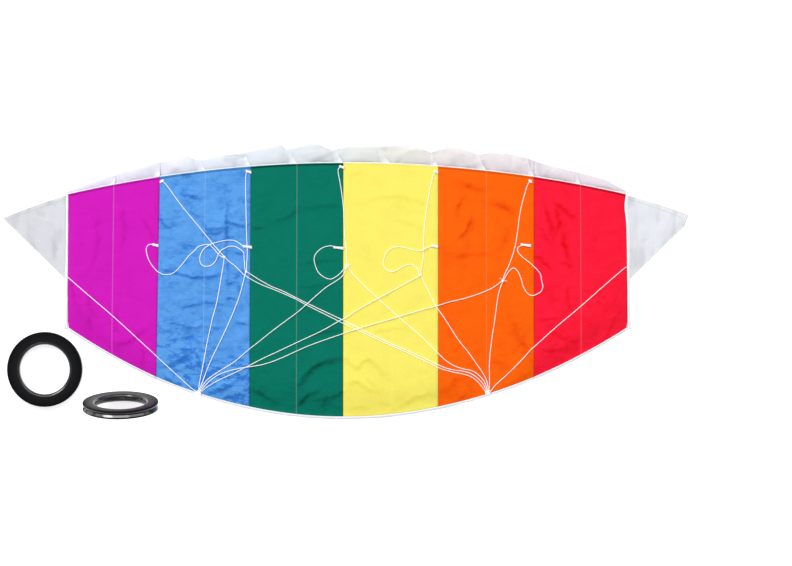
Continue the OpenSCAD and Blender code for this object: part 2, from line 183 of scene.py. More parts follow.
class Graph:
    """A material whose nodes are made by short calls. A value may be a number, a colour or an output."""

    def __init__(self, name, **settings):
        self.material = bpy.data.materials.new(name)
        self.material.use_nodes = True
        self.tree = self.material.node_tree
        self.shader = self.tree.nodes["Principled BSDF"]
        for socket, value in settings.items():
            self.put(self.shader.inputs[socket.replace("_", " ")], value)

    def put(self, socket, value):
        if isinstance(value, bpy.types.NodeSocket):
            self.tree.links.new(value, socket)
        elif socket.type == "VECTOR":
            socket.default_value = value[:3]
        else:
            socket.default_value = value

    def add(self, kind, values=(), **settings):
        node = self.tree.nodes.new("ShaderNode" + kind)
        for key, value in settings.items():
            setattr(node, key, value)
        for socket, value in zip(node.inputs, values):
            self.put(socket, value)
        return node

    def attribute(self, name, output="Fac"):
        return self.add("Attribute", attribute_name=name).outputs[output]

    def math(self, operation, *values):
        return self.add("Math", values, operation=operation).outputs[0]

    def times(self, shade, value, factor, offset):
        """The shade multiplied by factor times the value plus the offset."""
        return self.math("MULTIPLY", shade, self.math("MULTIPLY_ADD", value, factor, offset))

    def apart(self, value, centre):
        """How far a value is from its centre."""
        return self.math("ABSOLUTE", self.math("SUBTRACT", value, centre))

    def paint(self, colour):
        self.put(self.shader.inputs["Base Color"], colour)

    def band(self, value, near, far, high=1.0, low=0.0):
        """high where the value is below near, low where it is above far."""
        values = (value, near, far, high, low)
        return self.add("MapRange", values, interpolation_type="SMOOTHSTEP").outputs[0]

    def noise(self, vector, scale, detail=3.0):
        node = self.add("TexNoise")
        self.put(node.inputs["Vector"], vector)
        self.put(node.inputs["Scale"], scale)
        self.put(node.inputs["Detail"], detail)
        return node.outputs[0]

    def mix(self, share, a, b, blend="MIX"):
        node = self.add("Mix", data_type="RGBA", blend_type=blend)
        self.put(node.inputs[0], share)
        self.put(node.inputs[6], a)
        self.put(node.inputs[7], b)
        return node.outputs[2]

    def scale_colour(self, colour, value):
        """A colour made lighter or darker by a value."""
        node = self.add("VectorMath", (colour,), operation="SCALE")
        self.put(node.inputs["Scale"], value)
        return node.outputs[0]

    def bump(self, height, distance, strength=1.0):
        node = self.add("Bump")
        self.put(node.inputs["Strength"], strength)
        self.put(node.inputs["Distance"], distance)
        self.put(node.inputs["Height"], height)
        self.put(self.shader.inputs["Normal"], node.outputs[0])


def woven(graph, flat):
    """Ripstop cloth: its height, its thicker threads, which make squares, and the place along it."""
    square, thread, weave = 0.0029, 0.00042, 0.00045
    parts = graph.add("SeparateXYZ", (flat,))
    ways = parts.outputs[0], parts.outputs[1]
    lines = [graph.math("PINGPONG", way, square / 2) for way in ways]
    grid = graph.math("MAXIMUM", *[graph.band(line, thread * 0.4, thread) for line in lines])
    waves = [graph.math("SINE", graph.math("MULTIPLY", way, 2 * math.pi / weave)) for way in ways]
    height = graph.math("MULTIPLY_ADD", graph.math("MULTIPLY", *waves), 0.25, grid)
    return height, grid, ways[1]


def crumple_shade_and_blotches(graph, flat, wide, blotch):
    """Painted shade of crushed cloth: dark fine ridges and blotches that come and go over the panel."""
    ridge = graph.apart(graph.noise(wide, 46.0, 4.0), 0.5)
    fine = graph.band(ridge, 0.004, 0.034)
    both = graph.math("MULTIPLY_ADD", fine, 0.55, graph.math("MULTIPLY", blotch, 0.55))
    region = graph.band(graph.noise(flat, 14.0, 2.0), 0.36, 0.56, 0.2, 1.0)
    return graph.math("MULTIPLY", both, region)


def cloth_material(name, colour, stitch, crinkle_and_shade, threads, doubled):
    """Coloured ripstop nylon with its hems, seams and stitches.

    stitch says how pale the middle seam shows, the next value how crinkled the cloth is and how deep
    the painted shade of its crushed creases and blotches is, threads how clear the weave's thicker
    threads are, and doubled how dark the front hem is.
    """
    graph = Graph(name, Roughness=0.58, Specular_IOR_Level=0.055, Sheen_Weight=0.015, Sheen_Roughness=0.5)
    flat = graph.attribute("flat", "Vector")
    height, grid, along = woven(graph, flat)
    cloud = graph.noise(flat, 26.0, 5.0)
    speckle = graph.noise(flat, 420.0, 2.0)
    shade = graph.math("MULTIPLY_ADD", grid, -threads, 1.02)
    shade = graph.times(shade, cloud, 0.12, 0.94)
    shade = graph.times(shade, speckle, 0.14, 0.93)

    # Sewn edges are darker: the seams at the sides, the hem in front and the fold at the back
    hem_middle, stitch_gap = 0.0030, 0.0014
    back = graph.attribute("back")
    for edge in (
        graph.band(graph.attribute("seam"), 0.0004, 0.0016, 0.74, 1.0),
        graph.band(graph.apart(graph.attribute("front"), hem_middle), 0.0012, 0.0022, doubled, 1.0),
        graph.band(back, 0.0006, 0.0026, 0.7, 1.0),
    ):
        shade = graph.math("MULTIPLY", shade, edge)

    # Painted shade: creases and crushed patches are painted deeper in colour, most near the trailing edge
    wide = graph.add("VectorMath", (flat, (0.6, 1.0, 1.0)), operation="MULTIPLY").outputs[0]
    blotch = graph.band(graph.noise(wide, 80.0, 5.0), 0.40, 0.50)
    crease = graph.attribute("crease")
    crease_shade_blotched = graph.math("MULTIPLY", crease, graph.math("MULTIPLY_ADD", blotch, 0.5, 0.75))
    packed = graph.band(back, 0.05, 0.13, 0.95 * crinkle_and_shade, 0.36 * crinkle_and_shade)
    dark = graph.math("MULTIPLY_ADD", crumple_shade_and_blotches(graph, flat, wide, blotch), packed, crease_shade_blotched)
    base = rgb(*colour)
    deep = tuple(c ** 1.45 * 0.86 for c in base[:3]) + (1,)
    body = graph.mix(graph.math("MINIMUM", dark, 1.0), base, deep)

    # A dashed line of pale stitches runs along the middle, where the half rib is sewn on
    pale = tuple(0.6 * c + 0.4 for c in base[:3]) + (1,)
    middle = graph.band(graph.attribute("middle"), 0.0005, 0.0012)
    dash = graph.band(graph.math("PINGPONG", along, stitch_gap), 0.00095, 0.0012, 1.0, 0.35)
    thread = graph.math("MULTIPLY", graph.math("MULTIPLY", middle, dash), stitch)
    graph.paint(graph.mix(thread, graph.scale_colour(body, shade), pale))

    rumple = graph.math("MULTIPLY_ADD", cloud, 6.0, height)
    rumple = graph.math("MULTIPLY_ADD", graph.noise(wide, 130.0, 3.0), 1.5 + 6.0 * crinkle_and_shade, rumple)
    graph.bump(rumple, 0.00012, 0.8)
    return graph.material


def white_material(name, colour=(234, 236, 243), threads=0.05):
    """White ripstop of the upper skin, ribs and tips, with painted coloured glow and painted fold shade.
    """
    graph = Graph(name, Roughness=0.6, Specular_IOR_Level=0.15, Sheen_Weight=0.04)
    flat = graph.attribute("flat", "Vector")
    height, grid, _ = woven(graph, flat)
    cloud = graph.noise(flat, 30.0, 5.0)
    shade = graph.math("MULTIPLY_ADD", grid, -threads, 1.0)
    shade = graph.times(shade, cloud, 0.12, 0.94)
    # Painted shade: darker in the hollows of the folds
    shade = graph.times(shade, graph.attribute("crease"), -0.3, 1.0)
    from_stitch = graph.apart(graph.attribute("edge"), TIP_HEM)
    shade = graph.math("MULTIPLY", shade, graph.band(from_stitch, 0.0003, 0.001, 0.88, 1.0))
    # Painted glow of the coloured panels, and on the tips their painted brightness and the hem's own tone
    tinted = graph.mix(1.0, graph.attribute("tint", "Vector"), rgb(*colour), "MULTIPLY")
    graph.paint(graph.scale_colour(tinted, shade))
    graph.bump(graph.math("MULTIPLY_ADD", cloud, 8.0, height), 0.00012, 0.6)
    return graph.material


def tape_material(name, colour, rib, shine):
    """Woven tape and webbing: ribs across it and a faint speckle."""
    graph = Graph(name, Roughness=0.7, Specular_IOR_Level=0.3, Sheen_Weight=shine)
    flat = graph.attribute("flat", "Vector")
    parts = graph.add("SeparateXYZ", (flat,))
    ribs = graph.math("SINE", graph.math("MULTIPLY", parts.outputs[0], 2 * math.pi / rib))
    cloud = graph.noise(flat, 300.0, 3.0)
    # Painted highlight and shade: the ribs' tops a little lighter and the grooves between them darker
    shade = graph.times(graph.math("MULTIPLY_ADD", cloud, 0.12, 0.94), ribs, 0.03, 0.98)
    graph.paint(graph.scale_colour(rgb(*colour), shade))
    graph.bump(graph.math("MULTIPLY_ADD", cloud, 0.6, ribs), 0.0001, 0.4)
    return graph.material


def line_material():
    """White twisted cord, brightened by a painted glow, whose strands run round it as slanting ridges."""
    # Painted glow: a faint warm emission that brightens the lines
    graph = Graph("line_white", Roughness=0.65, Specular_IOR_Level=0.3, Sheen_Weight=0.5,
                  Emission_Color=(1.0, 0.98, 0.95, 1.0), Emission_Strength=0.15)
    twist = 0.0016
    flat = graph.attribute("flat", "Vector")
    parts = graph.add("SeparateXYZ", (flat,))
    slant = graph.math("MULTIPLY_ADD", parts.outputs[1], 2.0, parts.outputs[0])
    strand = graph.math("SINE", graph.math("MULTIPLY", slant, 2 * math.pi / twist))
    cloud = graph.noise(flat, 500.0, 2.0)
    # Painted highlight and shade: the strands' ridges a little lighter and their grooves darker
    shade = graph.times(graph.math("MULTIPLY_ADD", strand, 0.03, 0.97), cloud, 0.06, 0.97)
    graph.paint(graph.scale_colour(rgb(254, 254, 255), shade))
    graph.bump(graph.math("MULTIPLY_ADD", cloud, 0.5, strand), 0.00012, 0.4)
    return graph.material


def plastic_material():
    """Black moulded plastic: shiny where polish is high and matt on the faces, with a faint grain."""
    graph = Graph("ring_black")
    polish = graph.attribute("polish")
    spot = graph.add("TexCoord").outputs["Object"]
    grain = graph.noise(spot, 900.0, 3.0)
    smear = graph.noise(spot, 22.0, 3.0)
    matt = graph.math("MULTIPLY_ADD", smear, 0.08, 0.42)
    graph.put(graph.shader.inputs["Roughness"], graph.math("MULTIPLY_ADD", polish, -0.3, matt))
    graph.put(graph.shader.inputs["Specular IOR Level"], graph.math("MULTIPLY_ADD", polish, 0.92, 0.03))
    graph.paint(graph.scale_colour(rgb(11, 12, 15), graph.math("MULTIPLY_ADD", grain, 0.3, 0.85)))
    graph.bump(graph.math("MULTIPLY_ADD", smear, 1.5, grain), 0.00005, 0.35)
    return graph.material


def floor_material():
    """Plain pale studio paper, lit a little from below."""
    graph = Graph("floor", Roughness=0.9, Specular_IOR_Level=0.1,
                  Emission_Color=(1, 1, 1, 1), Emission_Strength=FLOOR_GLOW)
    spot = graph.add("TexCoord").outputs["Object"]
    shade = graph.math("MULTIPLY_ADD", graph.noise(spot, 3.0), 0.01, 0.99)
    graph.paint(graph.scale_colour(rgb(254, 254, 255), shade))
    return graph.material


# ---------------------------------------------------------------- meshes
def stacked(*parts):
    """Coordinates that are stretched to one shape and joined into points."""
    return np.stack(np.broadcast_arrays(*parts), -1)


def new_piece(name, points, faces, material, flat, smooth=True, **attributes):
    """A mesh piece, with the flat coordinates and other facts that its material reads."""
    mesh = bpy.data.meshes.new(name)
    mesh.from_pydata(np.asarray(points).tolist(), [], faces)
    mesh.materials.append(material)
    mesh.polygons.foreach_set("use_smooth", [smooth] * len(mesh.polygons))
    spots = np.zeros((len(points), 3), np.float32)
    spots[:, : flat.shape[1]] = flat
    mesh.attributes.new("flat", "FLOAT_VECTOR", "POINT").data.foreach_set("vector", spots.ravel())
    for key, values in attributes.items():
        values = np.asarray(values, np.float32)
        if values.ndim == 2:
            mesh.attributes.new(key, "FLOAT_VECTOR", "POINT").data.foreach_set("vector", values.ravel())
        else:
            mesh.attributes.new(key, "FLOAT", "POINT").data.foreach_set("value", values)
    mesh.update()
    piece = bpy.data.objects.new(name, mesh)
    bpy.context.scene.collection.objects.link(piece)
    return piece


def shell(name, grid, material, flat, thick=CLOTH, **attributes):
    """A thin closed sheet under a grid of points, which runs across first and then forward."""
    n, m = grid.shape[:2]
    across = np.gradient(grid, axis=0)
    forward = np.gradient(grid, axis=1)
    normal = np.cross(across, forward)
    normal /= np.maximum(np.linalg.norm(normal, axis=2, keepdims=True), 1e-12)
    points = np.concatenate([grid.reshape(-1, 3), (grid - thick * normal).reshape(-1, 3)])
    index = np.arange(n * m).reshape(n, m)
    a, b, c, d = index[:-1, :-1], index[1:, :-1], index[1:, 1:], index[:-1, 1:]
    upper = np.stack([a, b, c, d], -1).reshape(-1, 4)
    lower = upper[:, ::-1] + n * m
    rim = np.concatenate([index[:, 0], index[-1, 1:], index[-2::-1, -1], index[0, -2:0:-1]])
    after = np.roll(rim, -1)
    wall = np.stack([rim, rim + n * m, after + n * m, after], -1)
    both = {k: np.concatenate([v.reshape(n * m, -1)] * 2).squeeze() for k, v in attributes.items()}
    flats = np.concatenate([flat.reshape(n * m, -1)] * 2)
    faces = np.concatenate([upper, lower, wall]).tolist()
    return new_piece(name, points, faces, material, flats, **both)


def smooth_path(points, n):
    """A smooth curve through the points, with n steps from each to the next."""
    p = np.asarray(points, float)
    p = np.concatenate([p[:1], p, p[-1:]])
    t = (np.arange(n) / n)[:, None]
    parts = []
    for a, b, c, d in zip(p, p[1:], p[2:], p[3:]):
        bend, twist = 2 * a - 5 * b + 4 * c - d, 3 * b - a - 3 * c + d
        parts.append(0.5 * (2 * b + (c - a) * t + bend * t**2 + twist * t**3))
    return np.concatenate([*parts, p[-1:]])


def tube_mesh(path, d, sides, closed=False):
    """The points, faces and flat coordinates of a round tube along a path."""
    path = np.asarray(path, float)
    n = len(path)
    if closed:
        heads = np.roll(path, -1, 0) - np.roll(path, 1, 0)
    else:
        heads = np.gradient(path, axis=0)
    heads /= np.linalg.norm(heads, axis=1, keepdims=True)
    side = np.cross(heads[0], (0, 0, 1))
    if np.linalg.norm(side) < 0.1:
        side = np.cross(heads[0], (1, 0, 0))
    sides_at = []
    for head in heads:
        side = side - head * (side @ head)
        side = side / np.linalg.norm(side)
        sides_at.append(side)
    sides_at = np.array(sides_at)
    ups = np.cross(heads, sides_at)
    angle = 2 * math.pi * np.arange(sides) / sides
    if closed:
        twist = math.atan2(sides_at[0] @ ups[-1], sides_at[0] @ sides_at[-1])
        angle = angle[None, :] + (twist * np.arange(n) / n)[:, None]
    else:
        angle = np.repeat(angle[None, :], n, 0)
    ring = np.cos(angle)[..., None] * sides_at[:, None] + np.sin(angle)[..., None] * ups[:, None]
    points = (path[:, None] + d / 2 * ring).reshape(-1, 3)
    index = np.arange(n * sides).reshape(n, sides)
    start, stop = (index, np.roll(index, -1, 0)) if closed else (index[:-1], index[1:])
    walls = np.stack([start, stop, np.roll(stop, -1, 1), np.roll(start, -1, 1)], -1)
    walls = walls.reshape(-1, 4).tolist()
    if not closed:
        walls += [index[0].tolist(), index[-1, ::-1].tolist()]
    run = np.concatenate([[0], np.cumsum(np.linalg.norm(np.diff(path, axis=0), axis=1))])
    flat = stacked(run[:, None], d / 2 * angle).reshape(-1, 2)
    return points, walls, flat


def tubes(name, paths, d, material, sides=8, closed=False):
    """One piece made of round tubes of one diameter along one or more paths."""
    points, faces, flats, start = [], [], [], 0
    for path in paths:
        p, f, flat = tube_mesh(path, d, sides, closed)
        faces += [[start + k for k in face] for face in f]
        start += len(p)
        points.append(p)
        flats.append(flat)
    return new_piece(name, np.concatenate(points), faces, material, np.concatenate(flats))


# ---------------------------------------------------------------- where the kite folds
# Each fold's two bodies, and where the cloth starts and stops bending across it
LEFT_FOLD = ("canopy_middle", "outer_panel_left", (-0.361, 0, 0), (-0.381, 0, 0))
RIGHT_FOLD = ("canopy_middle", "outer_panel_right", (0.359, 0, 0), (0.379, 0, 0))
LEFT_TIP_FOLD = ("outer_panel_left", "wing_tip_left", (-0.532, 0, 0), (-0.552, 0, 0))
RIGHT_TIP_FOLD = ("outer_panel_right", "wing_tip_right", (0.532, 0, 0), (0.552, 0, 0))
SIDES = {-1: "left", 1: "right"}


def attach(piece, carrier, slot, *nodes):
    """The piece rides on a body, or stays put across a fold, and hides the CAD nodes it stands for."""
    if isinstance(carrier, str):
        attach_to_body(piece, carrier)
    else:
        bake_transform(piece)
    if nodes:
        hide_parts(*nodes)


# ---------------------------------------------------------------- lines
# The bridle's points: across, along, and the height of the line's centre above the lower skin, which
# is LYING unless a point says otherwise. All in millimetres.
LYING = 1
PRESSED = 0.8  # how much of its listed height a line keeps, as it sinks into the cloth
ROUTES = {
    "lead_leg_1": [
        (-347, 191), (-339, 183), (-313, 147), (-284, 112), (-254, 75), (-241, 60, 1.2), (-232, 50, 2.6),
    ],
    "mid_leg_1": [
        (-364, 70, 1.2), (-372, 72), (-378, 66), (-378, 57), (-375, 46), (-369, 34), (-358, 21),
        (-351, 17), (-347, 15), (-334, 15), (-324, 20), (-314, 30), (-305, 41), (-297, 51), (-288, 59),
        (-280, 67), (-270, 71), (-259, 71), (-249, 62), (-242, 53, 1.2), (-233, 47, 2.6),
    ],
    "lead_leg_2": [
        (-187, 209), (-190, 201), (-190, 164), (-189, 118), (-188, 80, 1.6), (-187, 66, 3.6),
        (-187, 52, 1.6), (-188, 35, 1.2), (-188, 22, 2.6),
    ],
    "mid_leg_2": [
        (-194, 68, 1.2), (-201, 73), (-209, 78), (-219, 80), (-231, 79), (-244, 76, 1.8), (-254, 73, 3.2),
        (-262, 69, 3.2), (-271, 61, 1.6), (-276, 51), (-277, 42), (-274, 34), (-266, 30), (-256, 32),
        (-248, 39, 1.6), (-243, 50, 3.3), (-238, 59, 3.3), (-231, 64, 1.8), (-222, 68), (-211, 68),
        (-201, 63), (-194, 56), (-193, 44), (-192, 33, 1.2), (-191, 21, 2.6),
    ],
    "lead_leg_3": [
        (-11, 218), (-15, 211), (-10, 182), (-5, 143), (-3, 97), (1, 61), (2, 42, 1.2), (2, 32, 2.6),
    ],
    "mid_leg_3": [
        (-21, 66, 1.2), (-27, 69), (-41, 67), (-53, 59), (-60, 48), (-59, 35), (-53, 20), (-42, 10),
        (-30, 6), (-20, 10), (-10, 18, 1.2), (0, 30, 2.6),
    ],
    "lead_leg_4": [
        (169, 209), (165, 201), (159, 175), (153, 139), (148, 95), (147, 62), (146, 42), (143, 27, 1.2),
        (142, 16, 2.6),
    ],
    "mid_leg_4": [
        (163, 68, 1.2), (155, 66, 2), (147, 62, 3.2), (137, 59, 2), (125, 62), (114, 65), (102, 67),
        (91, 66), (80, 60), (73, 48), (71, 34), (77, 24), (89, 20), (101, 26), (113, 32), (124, 34),
        (134, 27, 1.2), (139, 15, 2.6),
    ],
    "lead_leg_5": [
        (349, 191), (344, 184), (335, 154), (329, 126), (325, 95), (320, 66), (310, 35), (302, 18, 1.2),
        (297, 5, 2.6),
    ],
    "mid_leg_5": [
        (334, 70, 1.2), (326, 66), (326, 58), (332, 50), (342, 42), (351, 35), (358, 28), (364, 22),
        (369, 14), (371, 2), (373, -8), (369, -18), (358, -24), (351, -25), (343, -20), (336, -8),
        (332, 6), (326, 20), (318, 27), (310, 22, 1.2), (303, 12, 1.4), (299, 4, 2.6),
    ],
    "leader_1_l": [
        (-231, 46, 2.6), (-232, 36, 1.2), (-236, 12), (-244, -34), (-254, -73), (-262, -109),
        (-271, -157), (-277, -187, 1.2), (-279, -204, 2.2),
    ],
    "leader_2_l": [
        (-190, 18, 2.8), (-193, 8, 3.4), (-197, -9, 1.6), (-205, -35), (-220, -72), (-237, -109),
        (-257, -150), (-272, -189, 2.4), (-278, -204, 5),
    ],
    "leader_3_l": [
        (1, 28, 2.6), (-6, 13, 1.2), (-18, 3), (-37, -9), (-55, -24, 1.8), (-75, -42, 3.2),
        (-95, -59, 1.8), (-133, -87), (-167, -114), (-185, -128), (-212, -151), (-241, -169),
        (-262, -184), (-273, -198, 1.4), (-276, -205, 2.2),
    ],
    "leader_4_l": [
        (140, 12, 2.6), (121, 2, 1.2), (99, -10, 1.6), (63, -29, 3.2), (38, -43, 1.8), (16, -56, 1.8),
        (3, -65, 3), (-9, -71, 3.2), (-21, -78, 3), (-46, -92, 1.4), (-95, -115), (-131, -132),
        (-159, -145), (-184, -158), (-212, -172), (-244, -187), (-265, -200, 1.4), (-274, -208, 2.2),
    ],
    "leader_5_l": [
        (295, 2, 2.6), (280, -9, 1.2), (262, -18), (227, -30), (197, -37, 1.8), (171, -45, 3.2),
        (144, -52, 1.6), (121, -59, 1.8), (99, -65, 3.2), (74, -73, 1.6), (42, -82, 2.6), (22, -88, 3.3),
        (4, -94, 1.8), (-37, -108), (-70, -120), (-95, -131), (-131, -147), (-159, -156, 1.8),
        (-183, -160, 3.2), (-201, -163, 2.6), (-222, -168, 1.2), (-241, -175), (-257, -186, 1.2),
        (-268, -197, 2.6), (-275, -206, 5),
    ],
    "leader_1_r": [
        (-229, 47, 2.6), (-222, 40, 1.2), (-208, 29), (-195, 16), (-182, 7), (-159, -5), (-131, -16),
        (-95, -32), (-75, -43), (-37, -62), (-5, -78), (14, -87), (50, -104), (83, -119), (111, -131),
        (147, -148), (176, -162), (198, -169), (218, -173), (235, -178), (247, -186), (257, -197, 1.4),
        (265, -208, 2.2),
    ],
    "leader_2_r": [
        (-187, 19, 2.6), (-180, 15, 1.2), (-166, 6), (-143, -7), (-121, -16), (-95, -29), (-75, -39),
        (-41, -55), (-5, -72), (14, -82), (50, -99), (83, -115), (111, -127), (147, -143), (176, -157),
        (198, -165), (219, -168), (237, -173), (250, -182), (260, -193, 2.4), (266, -205, 5),
    ],
    "leader_3_r": [
        (4, 29, 2.6), (11, 18, 1.2), (32, -4), (63, -33), (99, -65), (147, -107), (175, -135),
        (189, -148), (205, -158), (222, -164), (240, -168), (254, -178), (263, -190, 1.4),
        (268, -205, 2.2),
    ],
    "leader_4_r": [
        (143, 13, 2.6), (147, 2, 1.2), (155, -14), (171, -45), (188, -70), (213, -109), (230, -130),
        (247, -154), (260, -173), (267, -188, 2.4), (270, -204, 5),
    ],
    "leader_5_r": [
        (297, 1, 2.6), (293, -9, 1.2), (288, -28), (282, -71), (276, -111), (272, -150), (272, -178),
        (272, -193, 1.4), (271, -205, 2.2),
    ],
    "tip_line_l": [
        (-531, 13, -0.5), (-523, 6), (-485, -27), (-443, -63), (-398, -104), (-358, -141), (-351, -148),
        (-320, -176), (-297, -197, 1.2), (-284, -207, 2.2),
    ],
    "tip_line_r": [
        (531, 29, -0.5), (522, 22), (485, -10), (442, -48), (398, -85), (358, -121), (351, -127),
        (334, -146), (305, -175), (284, -194, 1.4), (274, -207, 2.2),
    ],
}
RIB_KNOTS = in_metres([(-231, 48), (-189, 20), (2, 30), (141, 14), (297, 3)], 3)
TOW_KNOTS = in_metres([(-279, -209), (269, -209)], 3.6)
# The tails' points: out from the tow knot's middle, sideways, and the height above the floor
TAIL_LOOP = in_metres([
    (6.4, 1.2, 11.6), (9.5, 1.5, 11), (15, 2.2, 7.5), (21, 2.6, 2.4), (27, 2.5, 1.1), (33, 2, 1),
    (36, 0, 1), (33, -2, 1), (27, -2.5, 1.1), (21, -2.6, 2.4), (15, -2.2, 7.5), (9.5, -1.5, 11),
    (6.4, -1.2, 11.6),
])
TAIL_END = in_metres([
    (6.4, 4.2, 11.6), (9.5, 5.2, 11), (15, 7.2, 7.5), (21, 8.6, 2.4), (27, 10, 1.1), (33, 11.6, 1),
])
TAIL_TURNS = (math.radians(-112), math.radians(-66))
LINES = []
for k in range(1, 6):
    fold = {1: LEFT_FOLD, 5: RIGHT_FOLD}.get(k, "canopy_middle")
    past_fold = [f"bridle_{k}_loop"] if k in (1, 5) else []
    LINES.append((f"lead_leg_{k}", "canopy_middle", [f"bridle_{k}"]))
    LINES.append((f"mid_leg_{k}", fold, [f"bridle_{k}", *past_fold]))
for side, fold in (("left", LEFT_FOLD), ("right", RIGHT_FOLD)):
    LINES.append((f"tip_line_{side[0]}", fold, [f"tip_line_{side}_outer", f"tip_line_{side}_inner"]))
for side in ("left", "right"):
    LINES += [(f"leader_{k}_{side[0]}", "canopy_middle", [f"leader_{k}_{side}"]) for k in range(1, 6)]


def make_line(name, path, carrier, nodes, **facts):
    """A bridle line along a path, on the body that carries it or lying across a fold."""
    piece = tubes(name, [path], LINE_D, LINE_WHITE)
    attach(piece, carrier, "line_white", *nodes)


def make_bridle():
    """The rib lines, leaders and tip lines. Returns every line's path."""
    paths = []
    for name, carrier, nodes in LINES:
        route = in_metres(ROUTES[name], LYING)
        path = smooth_path([(x, y, TOP + PRESSED * h) for x, y, h in route], 5)
        make_line(name, path, carrier, nodes, far_end="object", lay="loose")
        paths.append(path)
    return paths


def tail_path(i, points):
    """A tail's curve: its points turned to run out from its tow knot."""
    cos, sin = math.cos(TAIL_TURNS[i]), math.sin(TAIL_TURNS[i])
    x, y, _ = TOW_KNOTS[i]
    return smooth_path([(x + a * cos - b * sin, y + a * sin + b * cos, h) for a, b, h in points], 4)


def make_tails():
    """The line ends past each tow knot: a loop on both sides, and a single end on the right."""
    for name, i, points, far_end in (
        ("tow_loop_left", 0, TAIL_LOOP, "object"),
        ("tow_loop_right", 1, TAIL_LOOP, "object"),
        ("tow_end_right", 1, TAIL_END, "bare"),
    ):
        side = ("left", "right")[i]
        node = f"tow_tail_{side}"
        make_line(name, tail_path(i, points), node, [node], far_end=far_end, lay="hanging")


def knot_path(centre, size, high, turn, n):
    """An overhand knot: a closed curve that passes over and under itself three times."""
    t = 2 * math.pi * np.arange(n) / n
    x = size * (np.sin(t) + 2 * np.sin(2 * t)) / 3
    y = size * (np.cos(t) - 2 * np.cos(2 * t)) / 3
    z = centre[2] - high * np.sin(3 * t)
    cos, sin = math.cos(turn), math.sin(turn)
    return np.stack([centre[0] + x * cos - y * sin, centre[1] + x * sin + y * cos, z], -1)


def fray_paths(centre, directions, reach):
    """Loose yarn ends that curl away from a knot, down on to the cloth."""
    paths = []
    # How far out along the reach, how far sideways of the bow and how far down each point is
    steps = [(0.15, 0.0, 0.0), (0.5, 0.6, 0.0006), (0.8, 0.8, 0.0016), (1.0, 0.4, 0.0021)]
    for k, direction in enumerate(directions):
        turn = math.radians(direction)
        bow = 0.35 * reach * (-1) ** k
        out = np.array((math.cos(turn), math.sin(turn), 0))
        side = np.array((-out[1], out[0], 0))
        points = [centre + out * reach * a + side * bow * b - (0, 0, down) for a, b, down in steps]
        paths.append(smooth_path(points, 3))
    return paths


FRAYED = {2: (20, 75, 140, 215, 300), 4: (-20, 10, 45, 150, 200)}
FRAY_REACH = 0.0075
KNOT_D = 0.0017  # the thicker line of the tow knots
TOW_TURNS = (0.4, 2.2)
# Each knot's coils: how wide and high they are, and how far they are turned
RIB_COILS = [(0.0022, 0.0007, 0, 60), (0.0011, 0.0009, 2, 36)]  # and how many points they have
TOW_COILS = [(0.0052, 0.0018, 0.0), (0.0045, 0.0022, 0.5), (0.0036, 0.0020, 1.1), (0.0022, 0.0022, 1.7)]


def make_knots():
    """Overhand knots at the ribs, two of them frayed, and the bulky tow knots on the trailing edge."""
    for k, (x, y, h) in enumerate(RIB_KNOTS):
        centre = (x, y, TOP + h - 0.0003)
        coils = [knot_path(centre, size, high, k + twist, n) for size, high, twist, n in RIB_COILS]
        piece = tubes(f"rib_knot_{k + 1}", coils, LINE_D, LINE_WHITE, closed=True)
        attach(piece, "canopy_middle", "line_white", "rib_knots")
    for k, directions in FRAYED.items():
        x, y, h = RIB_KNOTS[k]
        ends = fray_paths((x, y, TOP + h - 0.0005), directions, FRAY_REACH)
        piece = tubes(f"rib_fray_{k + 1}", ends, YARN_D, LINE_WHITE, 6)
        attach(piece, "canopy_middle", "line_white", "rib_knots")
    for side, turn, (x, y, h) in zip(("left", "right"), TOW_TURNS, TOW_KNOTS):
        centre = (x, y, TOP + h - 0.0004)
        coils = [knot_path(centre, size, high, turn + twist, 48) for size, high, twist in TOW_COILS]
        piece = tubes(f"tow_knot_{side}_coils", coils, KNOT_D, LINE_WHITE, closed=True)
        attach(piece, "canopy_middle", "line_white", f"tow_knot_{side}")


# ---------------------------------------------------------------- how the cloth lies
# How far each seam lies off its straight place, at its back end and its front end, from left to right
SEAM_DRIFT_BACK = (0.0025, -0.006, -0.0060, -0.0056, -0.002, 0.003, 0.004)
SEAM_DRIFT_FRONT = (0.004, 0.001, -0.0034, -0.0051, -0.002, 0.003, 0.0005)
# How much each panel is wrinkled all over, from left to right
WRINKLE = {"magenta": 0.8, "blue": 2.8, "green": 0.8, "yellow": 0.8, "orange": 1.2, "red": 1.5}
NAMES = list(WRINKLE)
